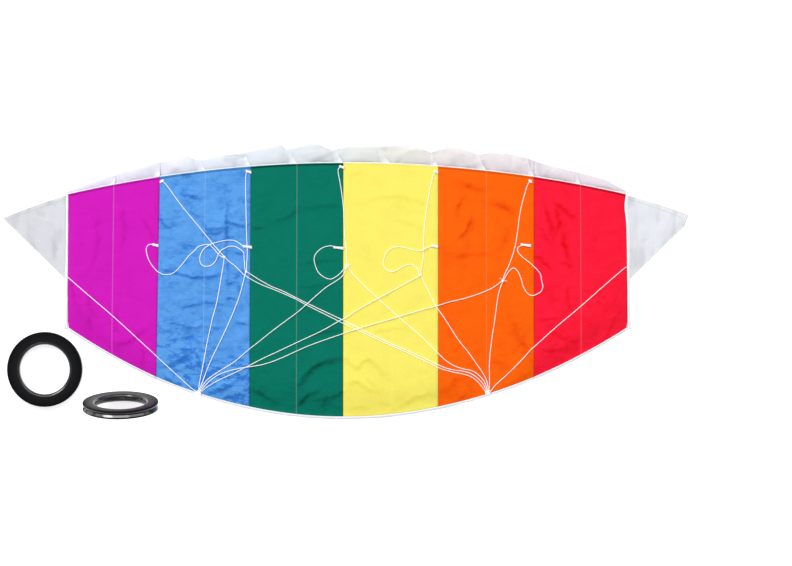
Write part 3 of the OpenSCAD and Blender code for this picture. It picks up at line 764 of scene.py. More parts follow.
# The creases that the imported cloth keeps: height, width and points, in millimetres. Each is steep on
# its right side. They lie higher and narrower than listed by these two factors.
CREASE_HIGH = 1.3
CREASE_WIDE = 0.92
CREASES = [
    # blue
    (2.2, 4, [(-307, 171), (-292, 165), (-277, 162)]),
    (1.8, 4, [(-296, 137), (-282, 128), (-271, 124)]),
    (2.4, 4, [(-354, 122), (-345, 110), (-332, 107)]),
    (2.4, 4, [(-273, 114), (-262, 105), (-246, 103), (-229, 103)]),
    (2.6, 4, [(-271, 93), (-252, 95), (-233, 97)]),
    (2.6, 4, [(-224, 114), (-208, 110), (-188, 109)]),
    (1.6, 3, [(-226, -15), (-227, 38), (-229, 103), (-227, 146), (-231, 179)]),
    (1.6, 3, [(-210, 57), (-199, 54), (-188, 52)]),
    (2.6, 4, [(-356, 27), (-337, 25), (-322, 21), (-296, 10), (-267, 12), (-235, 18)]),
    (2, 3, [(-227, -1), (-216, 1), (-208, 2)]),
    (1.8, 3, [(-201, -26), (-205, -11), (-208, 1)]),
    (1.6, 4, [(-307, -45), (-277, -39), (-248, -37), (-231, -43)]),
    (2.2, 3, [(-229, -30), (-220, -28), (-208, -32)]),
    (2, 3, [(-208, -73), (-199, -75), (-186, -79)]),
    (1.6, 3, [(-343, -73), (-296, -83), (-267, -83), (-235, -87)]),
    (1.5, 4, [(-322, -126), (-303, -125), (-284, -123)]),
    (1.4, 3, [(-288, -109), (-277, -111), (-263, -115)]),
    (2.8, 5, [(-352, -155), (-330, -153), (-311, -143), (-296, -132)]),
    (2.4, 4, [(-309, -162), (-294, -157), (-275, -151)]),
    (2.4, 4, [(-271, -183), (-254, -168), (-237, -161)]),
    (2.4, 5, [(-265, -206), (-235, -200), (-212, -189)]),
    (1.6, 3, [(-237, -219), (-226, -217), (-214, -215)]),
    (1.8, 4, [(-345, -174), (-330, -185), (-311, -197)]),
    (1, 4, [(-269, -119), (-246, -121), (-220, -123)]),
    # green
    (0.8, 6, [(-136, 118), (-117, 124), (-95, 141)]),
    (0.6, 6, [(-95, 145), (-53, 146), (-9, 150)]),
    (1.6, 7, [(-93, -193), (-66, -162), (-38, -147), (-4, -142)]),
    (1.5, 6, [(-93, -231), (-76, -214), (-51, -200)]),
    (1.3, 6, [(-64, -223), (-30, -217), (-4, -202)]),
    (1.2, 6, [(-172, -202), (-153, -214), (-127, -227)]),
    (0.9, 4, [(-180, 107), (-171, 105), (-157, 105)]),
    (0.6, 5, [(-81, 38), (-49, 42), (-19, 44)]),
    (0.6, 5, [(-89, -7), (-57, -5), (-27, -5)]),
    (0.7, 6, [(-70, -92), (-38, -90), (-9, -87)]),
    (1, 4, [(-49, -234), (-38, -227), (-25, -231)]),
    # yellow
    (0.6, 7, [(40, 156), (64, 165), (102, 165), (136, 158), (161, 150)]),
    (0.4, 6, [(99, 122), (117, 116), (138, 107)]),
    (0.6, 5, [(51, -92), (76, -87), (104, -83)]),
    (0.9, 6, [(0, -145), (21, -159), (32, -147), (45, -143), (64, -159), (81, -181)]),
    (0.9, 6, [(-2, -189), (17, -187), (32, -193), (49, -202)]),
    (0.6, 5, [(36, -174), (51, -187), (64, -206)]),
    (0.9, 7, [(91, -240), (112, -227), (133, -215), (152, -210), (172, -208)]),
    (0.6, 5, [(61, -223), (72, -227), (85, -234)]),
    (0.6, 6, [(2, -240), (23, -234), (47, -236)]),
    (0.4, 6, [(-2, 198), (11, 209), (30, 217)]),
    # orange
    (1, 6.9, [(212, 196), (233, 186), (252, 179), (267, 181)]),
    (1, 5.7, [(207, 129), (210, 146), (222, 162)]),
    (1.4, 5.7, [(212, 84), (224, 95), (231, 110), (233, 124)]),
    (1, 9.2, [(269, 156), (292, 154), (311, 145), (328, 131)]),
    (0.7, 6.9, [(182, 56), (216, 54), (254, 57), (280, 56)]),
    (0.8, 9.2, [(288, 67), (296, 84), (305, 103)]),
    (1, 10.3, [(343, -142), (328, -121), (315, -98), (307, -75)]),
    (0.9, 8, [(190, -200), (207, -181), (235, -174)]),
    (0.8, 9.2, [(307, -193), (328, -181), (351, -170)]),
    (0.5, 6.9, [(201, -132), (193, -100), (195, -62)]),
    (0.7, 5.7, [(207, -223), (220, -215), (231, -202)]),
    # red
    (2, 6, [(388, 95), (381, 122), (370, 152)]),
    (1.6, 6, [(392, 88), (400, 114), (394, 146)]),
    (2, 7, [(421, 37), (411, 65), (406, 95)]),
    (2, 6, [(398, 156), (415, 141), (434, 124)]),
    (1.4, 4, [(356, 57), (375, 42), (390, 25)]),
    (1.3, 4, [(424, -54), (415, -30), (419, -7)]),
    (1.1, 4, [(364, -70), (383, -66), (406, -66)]),
    (1.1, 5, [(375, -73), (400, -98), (436, -113)]),
    (0.9, 5, [(360, -125), (396, -126), (434, -123)]),
    (1, 5, [(489, -109), (500, -81), (514, -60)]),
    (1.2, 4, [(360, 110), (373, 101), (385, 80)]),
    (1, 4, [(406, 38), (419, 37), (430, 27)]),
    # magenta
    (1.2, 6, [(-440, -117), (-413, -109), (-394, -96), (-377, -81)]),
    (0.8, 6, [(-390, -155), (-388, -138), (-392, -121)]),
    (1, 4, [(-387, 124), (-371, 101), (-360, 80)]),
    (1.2, 4, [(-515, -30), (-521, -15), (-525, 1)]),
    (0.7, 6, [(-442, -94), (-438, -71), (-436, -49)]),
    (0.7, 7, [(-428, 69), (-424, 103), (-430, 146)]),
    (0.6, 7, [(-481, 42), (-474, 80), (-478, 128)]),
    (0.6, 8, [(-496, -90), (-489, -52), (-495, -5)]),
]
# The upper skin's scalloped front edge, in millimetres
NOSE_LINE = [
    (-529, 173), (-470, 196), (-436, 205), (-400, 219), (-353, 228), (-324, 235), (-301, 241),
    (-288, 234), (-269, 232), (-244, 240), (-191, 246), (-163, 252), (-117, 262), (-112, 254),
    (-107, 252), (-64, 263), (-49, 263), (-21, 251), (9, 258), (53, 258), (116, 260), (149, 253),
    (162, 247), (195, 256), (218, 255), (250, 243), (273, 246), (301, 245), (337, 237), (375, 224),
    (413, 215), (438, 209), (489, 196), (514, 183), (534, 172),
]


def drift(x, y):
    """How far the panels' seams lie off their straight places across the span."""
    seams = (np.arange(7) - 3) * PANEL_W
    share = (y - back_y(x)) / (front_y(x) - back_y(x))
    # The red panel's right edge is pulled in a little near the front
    dent, dent_y, dent_reach, dent_from = 0.0032, 0.142, 0.022, 0.49
    pulled = dent * np.exp(-(((y - dent_y) / dent_reach) ** 2)) * ease((x - dent_from) / 0.04)
    at_back, at_front = np.interp(x, seams, SEAM_DRIFT_BACK), np.interp(x, seams, SEAM_DRIFT_FRONT)
    return at_back * (1 - share) + at_front * share - pulled


def nose_y(x):
    """Where the upper skin's front edge lies."""
    points = MM * np.array(NOSE_LINE)
    return np.interp(x, points[:, 0], points[:, 1])


def soft_noise(x, y, cell, seed):
    """Smooth seeded noise from -1 to 1 that changes over about one cell."""
    size = 89
    table = np.random.default_rng(seed).uniform(-1, 1, (size, size))
    u, v = x / cell + 31.7, y / cell + 17.3
    i, j = np.floor(u).astype(int), np.floor(v).astype(int)
    s, t = ease(u - i), ease(v - j)
    a, b = table[i % size, j % size], table[(i + 1) % size, j % size]
    c, d = table[i % size, (j + 1) % size], table[(i + 1) % size, (j + 1) % size]
    return (a * (1 - s) + b * s) * (1 - t) + (c * (1 - s) + d * s) * t


def crumple(x, y, count, seed, low, high, flatness=0.55):
    """Short sharp folds scattered in a box, as thin packed cloth keeps them. About -1 to 1."""
    rng = np.random.default_rng(seed)
    z = np.zeros_like(x)
    for _ in range(count):
        cx, cy = rng.uniform(low[0], high[0]), rng.uniform(low[1], high[1])
        turn = rng.normal(0, flatness) + (math.pi / 2 if rng.uniform() < 0.25 else 0)
        length, width = rng.uniform(0.008, 0.035), rng.uniform(0.002, 0.006)
        bend, sign = rng.uniform(-6, 6), rng.choice((-1, 1)) * rng.uniform(0.3, 1)
        dx, dy = x - cx, y - cy
        along = dx * math.cos(turn) + dy * math.sin(turn)
        off = dy * math.cos(turn) - dx * math.sin(turn) + bend * along**2
        z += sign * np.exp(-((along / length) ** 2) - np.abs(off) / width)
    return z


def crease_at(x, y, points, height, width):
    """The height and painted shade of one fold: sharp, steep on its right side and gentle on its left."""
    points, height, width = MM * np.array(points), MM * height, MM * width
    best = np.full(x.shape, np.inf)
    side = np.zeros_like(x)
    place = np.zeros_like(x)
    lengths = np.linalg.norm(np.diff(points, axis=0), axis=1)
    before = 0.0
    for (ax, ay), (bx, by), length in zip(points, points[1:], lengths):
        dx, dy = (bx - ax) / length, (by - ay) / length
        along = np.clip((x - ax) * dx + (y - ay) * dy, 0, length)
        ox, oy = x - ax - along * dx, y - ay - along * dy
        distance = np.hypot(ox, oy)
        closer = distance < best
        best = np.where(closer, distance, best)
        side = np.where(closer, np.sign((x - ax) * dy - (y - ay) * dx), side)
        place = np.where(closer, (before + along) / lengths.sum(), place)
        before += length
    window = np.sqrt(np.clip(np.sin(math.pi * np.clip(place * 0.94 + 0.03, 0, 1)), 0, 1))
    spread = np.where(side > 0, 0.8 * width, 2.2 * width)
    rise = height * window * np.exp(-best / spread)
    darkest, full_height = 0.7 * width, 0.0026
    shade = window * np.exp(-(((best * side - darkest) / (0.8 * width)) ** 2)) * height / full_height
    return rise, shade


def wander(x, y, seed):
    """How far the creases stray at each spot, so that their curves aren't smooth."""
    return 0.0024 * soft_noise(x, y, 0.013, seed) + 0.0010 * soft_noise(x, y, 0.005, seed + 1)


def near_lines(x, y, kd):
    """How far each spot is from the nearest line, knot or webbing loop, seen from above."""
    spots = np.stack([x.ravel(), y.ravel()], -1).tolist()
    return np.array([kd.find((a, b, 0))[2] for a, b in spots]).reshape(x.shape)


def line_tree(paths):
    """The places from above of all that lies on the cloth: lines, webbing loops and knots."""
    tab_spread, knot_spread = (-0.003, 0, 0.003), (-0.004, 0, 0.004)
    points = [p for path in paths for p in smooth_path(path, 3)[:, :2]]
    for (free, sewn), y in zip(LEAD_TABS + MID_TABS, LEAD_TAB_Y + MID_TAB_Y):
        points += [(a, y + b) for a in np.linspace(free, sewn, 8) for b in tab_spread]
    for x, y, _ in TOW_KNOTS + RIB_KNOTS:
        points += [(x + a, y + b) for a in knot_spread for b in knot_spread]
    tree = kdtree.KDTree(len(points))
    for k, (x, y) in enumerate(points):
        tree.insert((x, y, 0), k)
    tree.balance()
    return tree


class Canopy:
    """The height of both skins, at flat places (x, y) before the seams' drift."""

    def __init__(self, paths):
        self.tree = line_tree(paths)

    def lower(self, x, y):
        """The lower skin's upper face, and the shade painted into its creases and folds."""
        x, y = np.broadcast_arrays(np.asarray(x, float), np.asarray(y, float))
        place = x + drift(x, y)
        seam = np.abs(x - np.round(x / PANEL_W) * PANEL_W)
        middle = np.abs(PANEL_W / 2 - seam)
        seam_reach, middle_reach, line_reach, edge_reach = 0.014, 0.010, 0.014, 0.055
        inland = ease(seam / seam_reach) * (0.45 + 0.55 * ease(middle / middle_reach))
        rise, shade = self.wrinkles(x, y)
        rise *= inland
        shade *= inland
        bent_x = place + wander(x, y, 71)
        bent_y = y + wander(x, y, 73)
        for height, width, points in CREASES:
            up, dark = crease_at(bent_x, bent_y, points, CREASE_HIGH * height, CREASE_WIDE * width)
            rise += up * (0.25 + 0.75 * inland)
            shade += dark
        # The stitches pull the seams down, and the hem in front ripples
        rise -= 0.0009 * np.exp(-seam / 0.0022) + 0.0003 * np.exp(-middle / 0.002)
        rise += 0.0004 * soft_noise(x, y, 0.03, 8) * np.exp(-np.abs(front_y(x) - y) / 0.015)
        # Cloth under a line lies flat and at its full height. Elsewhere it sags to the floor at its edges.
        distance = near_lines(place, y, self.tree)
        free = ease((distance - 0.001) / line_reach)
        inside = ease((y - back_y(x)) / edge_reach)
        back_sag = 0.0058 * (1 - inside) * ease((distance - 0.006) / 0.05)
        side_sag = 0.0015 * (1 - ease((HALF_SPAN - np.abs(x)) / 0.02)) * ease(distance / 0.03)
        z = TOP - CLOTH + rise * (0.2 + 0.8 * free) - back_sag - side_sag
        ceiling = TOP - 0.0001 + 0.3 * np.maximum(distance - 0.0015, 0)
        return np.minimum(z, ceiling), np.clip(shade, 0, 1)

    def wrinkles(self, x, y):
        """The small folds and soft rolls of each panel, by how much its cloth is wrinkled."""
        panel = np.clip(np.floor((x + HALF_SPAN) / PANEL_W).astype(int), 0, 5)
        rise = np.zeros_like(x)
        shade = np.zeros_like(x)
        for i, much in enumerate(WRINKLE.values()):
            here = panel == i
            if not here.any():
                continue
            a, b = x[here], y[here]
            low = ((i - 3) * PANEL_W, BACK_MID)
            high = ((i - 2) * PANEL_W, FRONT_MID)
            folds = crumple(a, b, int(60 + 110 * much), 11 + i, low, high)
            rolls = soft_noise(a, b, 0.045, 3) * 0.7 + soft_noise(a, b, 0.016, 5) * 0.35
            rise[here] = much * 0.001 * (0.42 * folds + 0.75 * rolls)
            # Shade painted into the hollows of the folds, for the cloth's colour
            shade[here] = np.clip(-folds, 0, 1.5) * 0.3 * min(1, much / 2)
        return rise, shade

    def upper(self, x, y):
        """The upper skin's inner face: nearly flat under the canopy and puffed up in front of it."""
        cell = PANEL_W / 2
        rib = np.abs(x - np.round(x / cell) * cell)
        puff = ease(rib / (0.4 * cell))
        front, nose = front_y(x), nose_y(x)
        out = np.clip((y - front) / np.maximum(nose - front, 0.004), 0, 1)
        wide = ease((nose - front) / 0.03)
        arch = np.sin(math.pi * np.clip(out * 0.85 + 0.05, 0, 1))
        puffed = 0.09  # how far behind the front edge the nose starts to rise
        behind = ease((y - front + puffed) / puffed)
        z = 0.0008 + 0.0005 * soft_noise(x, y, 0.03, 21) + 0.0010 * behind
        z += (0.0010 + 0.0030 * puff) * arch * wide * (out > 0)
        folds = crumple(x, y, 420, 23, (-HALF_SPAN, 0.14), (HALF_SPAN, 0.26), 1.1)
        z += 0.0014 * folds * behind * wide
        # The second value is the shade painted into the hollows of the folds
        return np.maximum(z, LOWEST + 0.0008 * (1 - out)), 0.5 * np.clip(-folds, 0, 1) * behind


# ---------------------------------------------------------------- cloth pieces
# The coloured glow of each panel on the white skin in front of it, painted into that skin's colour
GLOW = (
    (236, 229, 242), (230, 233, 243), (226, 230, 234),
    (232, 230, 220), (236, 226, 226), (234, 222, 227),
)


def painted_glow_at(x, share):
    """The painted glow of the panels: the colour that multiplies white cloth, as far as share says."""
    centres = (np.arange(6) - 2.5) * PANEL_W
    white = np.array(rgb(236, 236, 240)[:3])
    glow = np.array([rgb(*g)[:3] for g in GLOW]) / white
    colour = np.stack([np.interp(x, centres, glow[:, c]) for c in range(3)], -1)
    return 1 + (np.minimum(colour, 1.05) - 1) * share[..., None]


def span_grid(x0, x1, columns, ways):
    """Flat x and y of a grid: ways are functions of x that give y on each row."""
    x = np.linspace(x0, x1, columns + 1)
    y = np.stack([way(x) for way in ways], 1)
    return np.repeat(x[:, None], y.shape[1], 1), y


def between(low, high, shares):
    """Functions of x for span_grid, each the given share of the way from one edge to another."""
    return [lambda x, s=s: low(x) * (1 - s) + high(x) * s for s in shares]


def hem_height(top, low, place):
    """A place on a hem: metres from the top face, or below -0.01 the share of the way down to low."""
    return top + place if place > -0.01 else top - (low - top) * place


def make_panels(canopy):
    """The six coloured panels of the lower skin."""
    for i, name in enumerate(NAMES):
        x0, x1 = (i - 3) * PANEL_W, (i - 2) * PANEL_W
        columns = 2 * round(PANEL_W / CELL / 2)
        rows = round((FRONT_MID - BACK_MID) / CELL)
        x, y = span_grid(x0, x1, columns, between(back_y, front_y, np.linspace(0, 1, rows + 1)))
        z, shade = canopy.lower(x, y)
        grid = np.stack([x + drift(x, y), y, z], -1)
        seam = np.minimum(x - x0, x1 - x)
        piece = shell(
            f"{name}_cloth", grid, CLOTHS[name], np.stack([x, y], -1), crease=shade, seam=seam,
            middle=np.abs(x - (x0 + x1) / 2), front=front_y(x) - y, back=y - back_y(x),
        )
        carrier = {0: LEFT_FOLD, 5: RIGHT_FOLD}.get(i, "canopy_middle")
        attach(piece, carrier, f"cloth_{name}", f"{name}_panel")


def fold_parts(end, gap):
    """The three parts of a skin or tape: its name, its left and right ends, and what carries it."""
    return (
        ("left", -end, -FOLD_X - gap, LEFT_FOLD),
        ("centre", -FOLD_X + gap, FOLD_X - gap, "canopy_middle"),
        ("right", FOLD_X + gap, end, RIGHT_FOLD),
    )


def make_upper_skin(canopy):
    """The white skin that the kite lies on, in the three parts that fold."""
    inside = between(back_y, front_y, np.linspace(0, 0.96, 60))
    outside = between(front_y, nose_y, np.linspace(0, 1, 14))
    for side, x0, x1, carrier in fold_parts(HALF_SPAN, SEAM_GAP):
        x, y = span_grid(x0, x1, round((x1 - x0) / 0.003), inside + outside)
        z, shade = canopy.upper(x, y)
        grid = np.stack([x + drift(x, y), y, z], -1)
        # Painted glow of the coloured panels on the white skin just in front of them
        tint = painted_glow_at(x, ease((y - front_y(x) + 0.02) / 0.02))
        piece = shell(
            f"upper_skin_cloth_{side}", grid, WHITE, np.stack([x, y], -1),
            crease=shade, edge=np.ones_like(x), tint=tint,
        )
        attach(piece, carrier, "cloth_white", f"upper_skin_{side}")


# How far across each rib's nose flops at the leading edge, and how far its tip lies from it
RIB_FLOP = (0, -0.007, -0.012, -0.013, -0.014, -0.016, -0.018, -0.019, -0.015, -0.018, -0.012, -0.010, 0)
RIB_TIP = (0, 0.004, 0.0, -0.010, -0.012, -0.014, -0.014, -0.026, -0.014, -0.014, -0.014, -0.006, 0)
# The flat widths of the ribs and tapes
RIB_DEEP = 0.012
HEM_DEEP = 0.012
TAPE_DEEP = 0.010


def make_rib(canopy, k):
    """A rib between the skins. Its nose has flopped over on to the upper skin, in front of the panels."""
    x = -HALF_SPAN + k * PANEL_W / 2
    front = float(front_y(x))
    tip_x = x + RIB_TIP[k]
    tip_y = float(nose_y(tip_x)) - 0.001
    y = np.linspace(float(back_y(x)) + 0.004, front - 0.001, 150)
    t = np.linspace(0, 1, 7)[:, None]
    low_z, _ = canopy.upper(np.full_like(y, x), y)
    high_z, _ = canopy.lower(np.full_like(y, x), y)
    leaning = 0.07  # how far behind the front edge the rib starts to lean
    lean = RIB_FLOP[k] * ease((y - front + leaning) / leaning)
    sway = 0.0016 * soft_noise(y, y * 0 + k, 0.04, 31) * np.sin(math.pi * t)
    body_x = x + drift(x, y) + lean * (1 - t) + sway
    body_z = (low_z + 0.0004) * (1 - t) + (high_z - CLOTH - 0.0002) * t
    s = np.linspace(0.04, 1, 14)
    shift = drift(x, front)
    out_y = front + (tip_y - front) * s
    tip_z = float(canopy.upper(np.array([tip_x]), np.array([tip_y]))[0][0]) + 0.0008
    out_low = canopy.upper(x + RIB_FLOP[k] * (1 - s) + RIB_TIP[k] * s, out_y)[0] + 0.0006
    out_high = high_z[-1] - CLOTH + (tip_z - high_z[-1] + CLOTH) * (1 - (1 - s) ** 2.5)
    low_x = x + shift + (RIB_FLOP[k] or -0.001) * (1 - s) + RIB_TIP[k] * s - 0.0003
    high_x = x + shift + RIB_TIP[k] * s + 0.0003
    out_x = low_x * (1 - t) + high_x * t
    sag = 0.0012 * np.sin(math.pi * t) * np.sin(math.pi * s)
    out_z = np.maximum(out_low * (1 - t) + out_high * t - sag, out_low)
    ys = np.concatenate([y, out_y])
    shape = (len(t), len(ys))
    xs, zs = np.concatenate([body_x, out_x], 1), np.concatenate([body_z, out_z], 1)
    grid = np.stack([xs, np.broadcast_to(ys, shape), zs], -1)
    flat = stacked(ys[None, :], t * RIB_DEEP)
    shown = np.broadcast_to(ease((ys - front + 0.01) / 0.01), shape)
    # Painted glow of the panels, on the part of the rib shown in front of them
    tint = painted_glow_at(np.full(shape, x), shown * 0.4)
    piece = shell(
        f"rib_cloth_{k}", grid, RIB_WHITE, flat, RIB_CLOTH,
        crease=np.zeros(shape), edge=np.ones(shape), tint=tint,
    )
    if k % 2 == 0:
        node, carrier = f"main_rib_{k // 2}", "canopy_middle"
    else:
        node = {1: "half_rib_left", 11: "half_rib_right"}.get(k, "half_ribs_centre")
        carrier = {1: LEFT_FOLD, 11: RIGHT_FOLD}.get(k, "canopy_middle")
    attach(piece, carrier, "cloth_white", node)


# Sections of the hems and tapes: how far outwards each point lies, and its hem_height
SIDE_PROFILE = (
    (-0.0006, 0.0001), (0.0012, 0.0004), (0.0032, 0.0004), (0.0043, -0.0002), (0.0047, -0.0012),
    (0.0049, -0.45), (0.0046, -1.0),
)
HEM_PROFILE = (
    (0.0010, 0.0002), (-0.0004, 0.0004), (-0.0018, 0.0003), (-0.0032, -0.0002), (-0.0038, -0.0012),
    (-0.0040, -0.6), (-0.0034, -1.0), (-0.0004, -1.0),
)
TAPE_PROFILE = (
    (-0.0003, 0.0001), (0.0005, 0.0002), (0.0012, 0.0), (0.0016, -0.0005), (0.0014, -0.0010),
    (0.0004, -0.0012), (-0.0028, -0.0012),
)
ROW = 0.0018  # the flat width of each strip between two points of a section


def make_side(canopy, side):
    """The rib at the end of the canopy, whose hem lies on the panel's edge as a white tape."""
    name = SIDES[side]
    edge_x = side * HALF_SPAN
    front, nose = float(front_y(edge_x)), float(nose_y(edge_x))
    along_panel = np.linspace(float(back_y(edge_x)) - 0.003, front, 170)
    y = np.concatenate([along_panel, np.linspace(front, nose, 6)[1:]])
    inner = side * (HALF_SPAN - 0.003)
    inside = np.clip(y, float(back_y(inner)) + 0.001, front)
    top, _ = canopy.lower(np.full_like(y, inner), inside)
    low, _ = canopy.upper(np.full_like(y, edge_x), np.minimum(y, front))
    fall = ease((y - front) / max(nose - front, 0.004))
    top = top * (1 - fall) + (low + 0.0012) * fall
    wave = 0.0003 * soft_noise(y, y * 0, 0.02, 41)
    rows = []
    for dx, dz in SIDE_PROFILE:
        z = hem_height(top, low + 0.0002, dz)
        rows.append(np.stack([edge_x + drift(edge_x, inside) + side * dx + wave * side, y, z], -1))
    if side < 0:
        rows = rows[::-1]
    grid = np.stack(rows, 0)
    flat = stacked(y[None, :], np.arange(len(rows))[:, None] * ROW)
    piece = shell(f"side_tape_{name}", grid, WEBBING, flat, TAPE_CLOTH)
    attach(piece, LEFT_FOLD if side < 0 else RIGHT_FOLD, "tape_white", f"side_rib_{name}")


def make_strips(canopy):
    """The hem along the trailing edge and the tape along the panels' leading edge, each in three parts."""
    for side, x0, x1, carrier in fold_parts(HALF_SPAN + 0.0005, TAPE_GAP):
        x = np.linspace(x0, x1, round((x1 - x0) / CELL))
        inner_x = np.clip(x, -HALF_SPAN, HALF_SPAN)
        for name, profile, edge, inset, deep in (
            ("trailing_hem", HEM_PROFILE[::-1], back_y, 0.0006, HEM_DEEP),
            ("leading_tape", TAPE_PROFILE, front_y, -0.0006, TAPE_DEEP),
        ):
            top, _ = canopy.lower(inner_x, edge(inner_x) + inset)
            low, _ = canopy.upper(inner_x, edge(inner_x))
            frill = 0.0005 * soft_noise(x, x * 0, 0.012, 51)
            rows = []
            for dy, dz in profile:
                y = edge(inner_x) + dy + frill * (abs(dy) > 0.002)
                z = np.maximum(hem_height(top, low, dz), LOWEST)
                rows.append(np.stack([x + drift(inner_x, edge(inner_x)), y, z], -1))
            grid = np.stack(rows, 1)
            flat = stacked(x[:, None], np.arange(len(rows))[None, :] * ROW)
            piece = shell(f"{name}_cloth_{side}", grid, TAPE, flat, CLOTH)
            attach(piece, carrier, "tape_white", f"{name}_{side}")


TIP_ROOT = (0.0065, 0.1655)  # where a tip is sewn to the side rib, along the kite
TIP_END_W = 0.012
# Painted shade: the left tip's cloth is painted darker than the right one's
TIP_PAINTED_BRIGHTNESS = {-1: 0.84, 1: 1.0}  # how bright each tip's cloth is
# Each tip's far end, from its front corner to its back corner
TIP_ENDS = {-1: ((-0.6500, 0.1225), (-0.6465, 0.1165)), 1: ((0.6500, 0.1285), (0.6420, 0.1065))}
# Each tip's soft folds: height, width and points, in millimetres
TIP_FOLDS = {
    -1: [
        (1.2, 5, [(-548, 30), (-545, 90), (-549, 150)]),
        (0.7, 5, [(-563, 60), (-566, 100), (-561, 140)]),
    ],
    1: [
        (1.4, 5, [(545, 30), (552, 80), (541, 120)]),
        (1.2, 4, [(541, 120), (556, 100), (561, 70)]),
        (1.2, 3, [(624, 128), (632, 119), (630, 106)]),
    ],
}


def make_tip(side):
    """A hemmed white wing tip, sewn to the side rib and lying with a few soft folds."""
    name = SIDES[side]
    edge_x = side * HALF_SPAN
    columns, rows = 44, 60
    u = np.linspace(0, 1, columns + 1)[:, None]
    v = np.linspace(0, 1, rows + 1)[None, :]
    root_w = TIP_ROOT[1] - TIP_ROOT[0]
    y_root = TIP_ROOT[0] + root_w * v
    x_root = edge_x + drift(edge_x, y_root) + side * 0.0042
    (fx, fy), (bx, by) = TIP_ENDS[side]
    x_end, y_end = bx + (fx - bx) * v, by + (fy - by) * v
    x = x_root + (x_end - x_root) * u
    y = y_root + (y_end - y_root) * u
    bow = 0.0016  # how far the front edge bows out
    y += bow * np.sin(math.pi * u) * (v - 0.5) * 2 * (v > 0.5)
    out = np.abs(x - x_root)
    wide = root_w * (1 - u) + TIP_END_W * u
    edge = np.minimum.reduce([v * wide, (1 - v) * wide, np.abs(x_end - x)])
    hem = ease((TIP_HEM + 0.0003 - edge) / 0.0006)
    rise = 0.0004 * crumple(np.abs(x), y, 70, 61 + side, (HALF_SPAN, 0.0), (0.65, 0.17), 1.2)
    rise += 0.0007 * soft_noise(np.abs(x), y * 0.3, 0.010, 63 + side)
    at_root, root_reach = 0.0062, 0.012
    height = 0.0014 + at_root * np.exp(-out / root_reach) + rise * ease(edge / 0.006 + 0.3)
    height += 0.0003 * hem
    for high, width, points in TIP_FOLDS[side]:
        height = height + crease_at(x, y, points, high, width)[0]
    grid = stacked(x, y, np.maximum(height, 0.0006))
    order = slice(None, None, -1) if side < 0 else slice(None)
    flat = stacked(x, y)
    hem_tint = np.array((-0.03, -0.02, 0.02))
    tint = TIP_PAINTED_BRIGHTNESS[side] * np.ones(grid.shape) * (1 - hem[..., None] * hem_tint)
    # Shade painted into the hollows of the small folds
    shade = np.clip(-rise / 0.0014, 0, 0.6)
    piece = shell(
        f"wing_tip_cloth_{name}", grid[order], WHITE, flat[order], TAPE_CLOTH,
        crease=shade[order], edge=np.broadcast_to(edge, x.shape)[order], tint=tint[order],
    )
    attach(piece, LEFT_TIP_FOLD if side < 0 else RIGHT_TIP_FOLD, "cloth_white", f"wing_tip_{name}")


# ---------------------------------------------------------------- webbing loops
# Each loop's free end and sewn end across the canopy, and its place along it
LEAD_TABS = [(-0.345, -0.353), (-0.190, -0.179), (-0.013, -0.003), (0.166, 0.175), (0.346, 0.353)]
MID_TABS = [(-0.367, -0.355), (-0.196, -0.178), (-0.024, -0.004), (0.161, 0.175), (0.331, 0.351)]
LEAD_TAB_Y = [0.191, 0.209, 0.218, 0.209, 0.191]
MID_TAB_Y = [0.070, 0.067, 0.065, 0.068, 0.070]
TAB_W = 0.0052
HITCH_D = 0.0011
HITCH_STEPS = (0.0016, 0.0030)  # how far in from a tab's ends its hitches and tacks are


def make_tab(name, free, sewn, y, carrier, node):
    """A loop of flat webbing, doubled over from its sewn end, with a line hitched round it."""
    out = 1 if free > sewn else -1
    high, low = TOP + 0.0020, TOP + 0.0002
    round_r = (high - low) / 2
    mid = (high + low) / 2
    turn = np.linspace(math.pi / 2, -math.pi / 2, 7)
    end = free - out * round_r
    path = [(sewn, high - 0.0005), ((free + sewn) / 2, high + 0.0002)]
    path += [(end + out * round_r * math.cos(a), mid + round_r * math.sin(a)) for a in turn]
    path += [((free + sewn) / 2, low), (sewn, low)]
    path = smooth_path(path, 3)
    share = np.abs(path[:, 0] - sewn) / abs(free - sewn)
    half = TAB_W / 2 * (1 - 0.3 * ease(share))
    v = np.linspace(-1, 1, 5)[:, None] * -out
    x = path[None, :, 0] + 0.0003 * out * v
    z = path[None, :, 1] - 0.0002 * v**2
    slant = 0.0022 * (share - 0.3)
    grid = stacked(x, y + v * half + slant, z)
    run = np.concatenate([[0], np.cumsum(np.linalg.norm(np.diff(path, axis=0), axis=1))])
    flat = stacked(v * TAB_W / 2, run[None, :])
    piece = shell(f"{name}_webbing", grid, WEBBING, flat, WEBBING_CLOTH)
    attach(piece, carrier, "tape_white", node)
    a = 2 * math.pi * np.arange(20) / 20
    zigzag = 0.0004 * (-1) ** np.arange(9)
    tack_y = y - 0.0006 + np.linspace(-0.0023, 0.0023, 9)
    wraps, tacks = [], []
    for step in HITCH_STEPS:
        wrap_x, wrap_y = free - out * step + 0.0003 * np.sin(a), y + 0.0013 + 0.0021 * np.cos(a)
        wraps.append(np.stack([wrap_x, wrap_y, mid + 0.0003 + 0.0010 * np.sin(a)], -1))
        tacks.append(np.stack([sewn + out * (step + zigzag), tack_y, np.full(9, high - 0.0002)], -1))
    hitch = tubes(f"{name}_hitch", wraps, HITCH_D, LINE_WHITE, closed=True)
    attach(hitch, carrier, "line_white", node)
    tack = tubes(f"{name}_tack", tacks, YARN_D, LINE_WHITE, 6)
    attach(tack, carrier, "line_white", node)


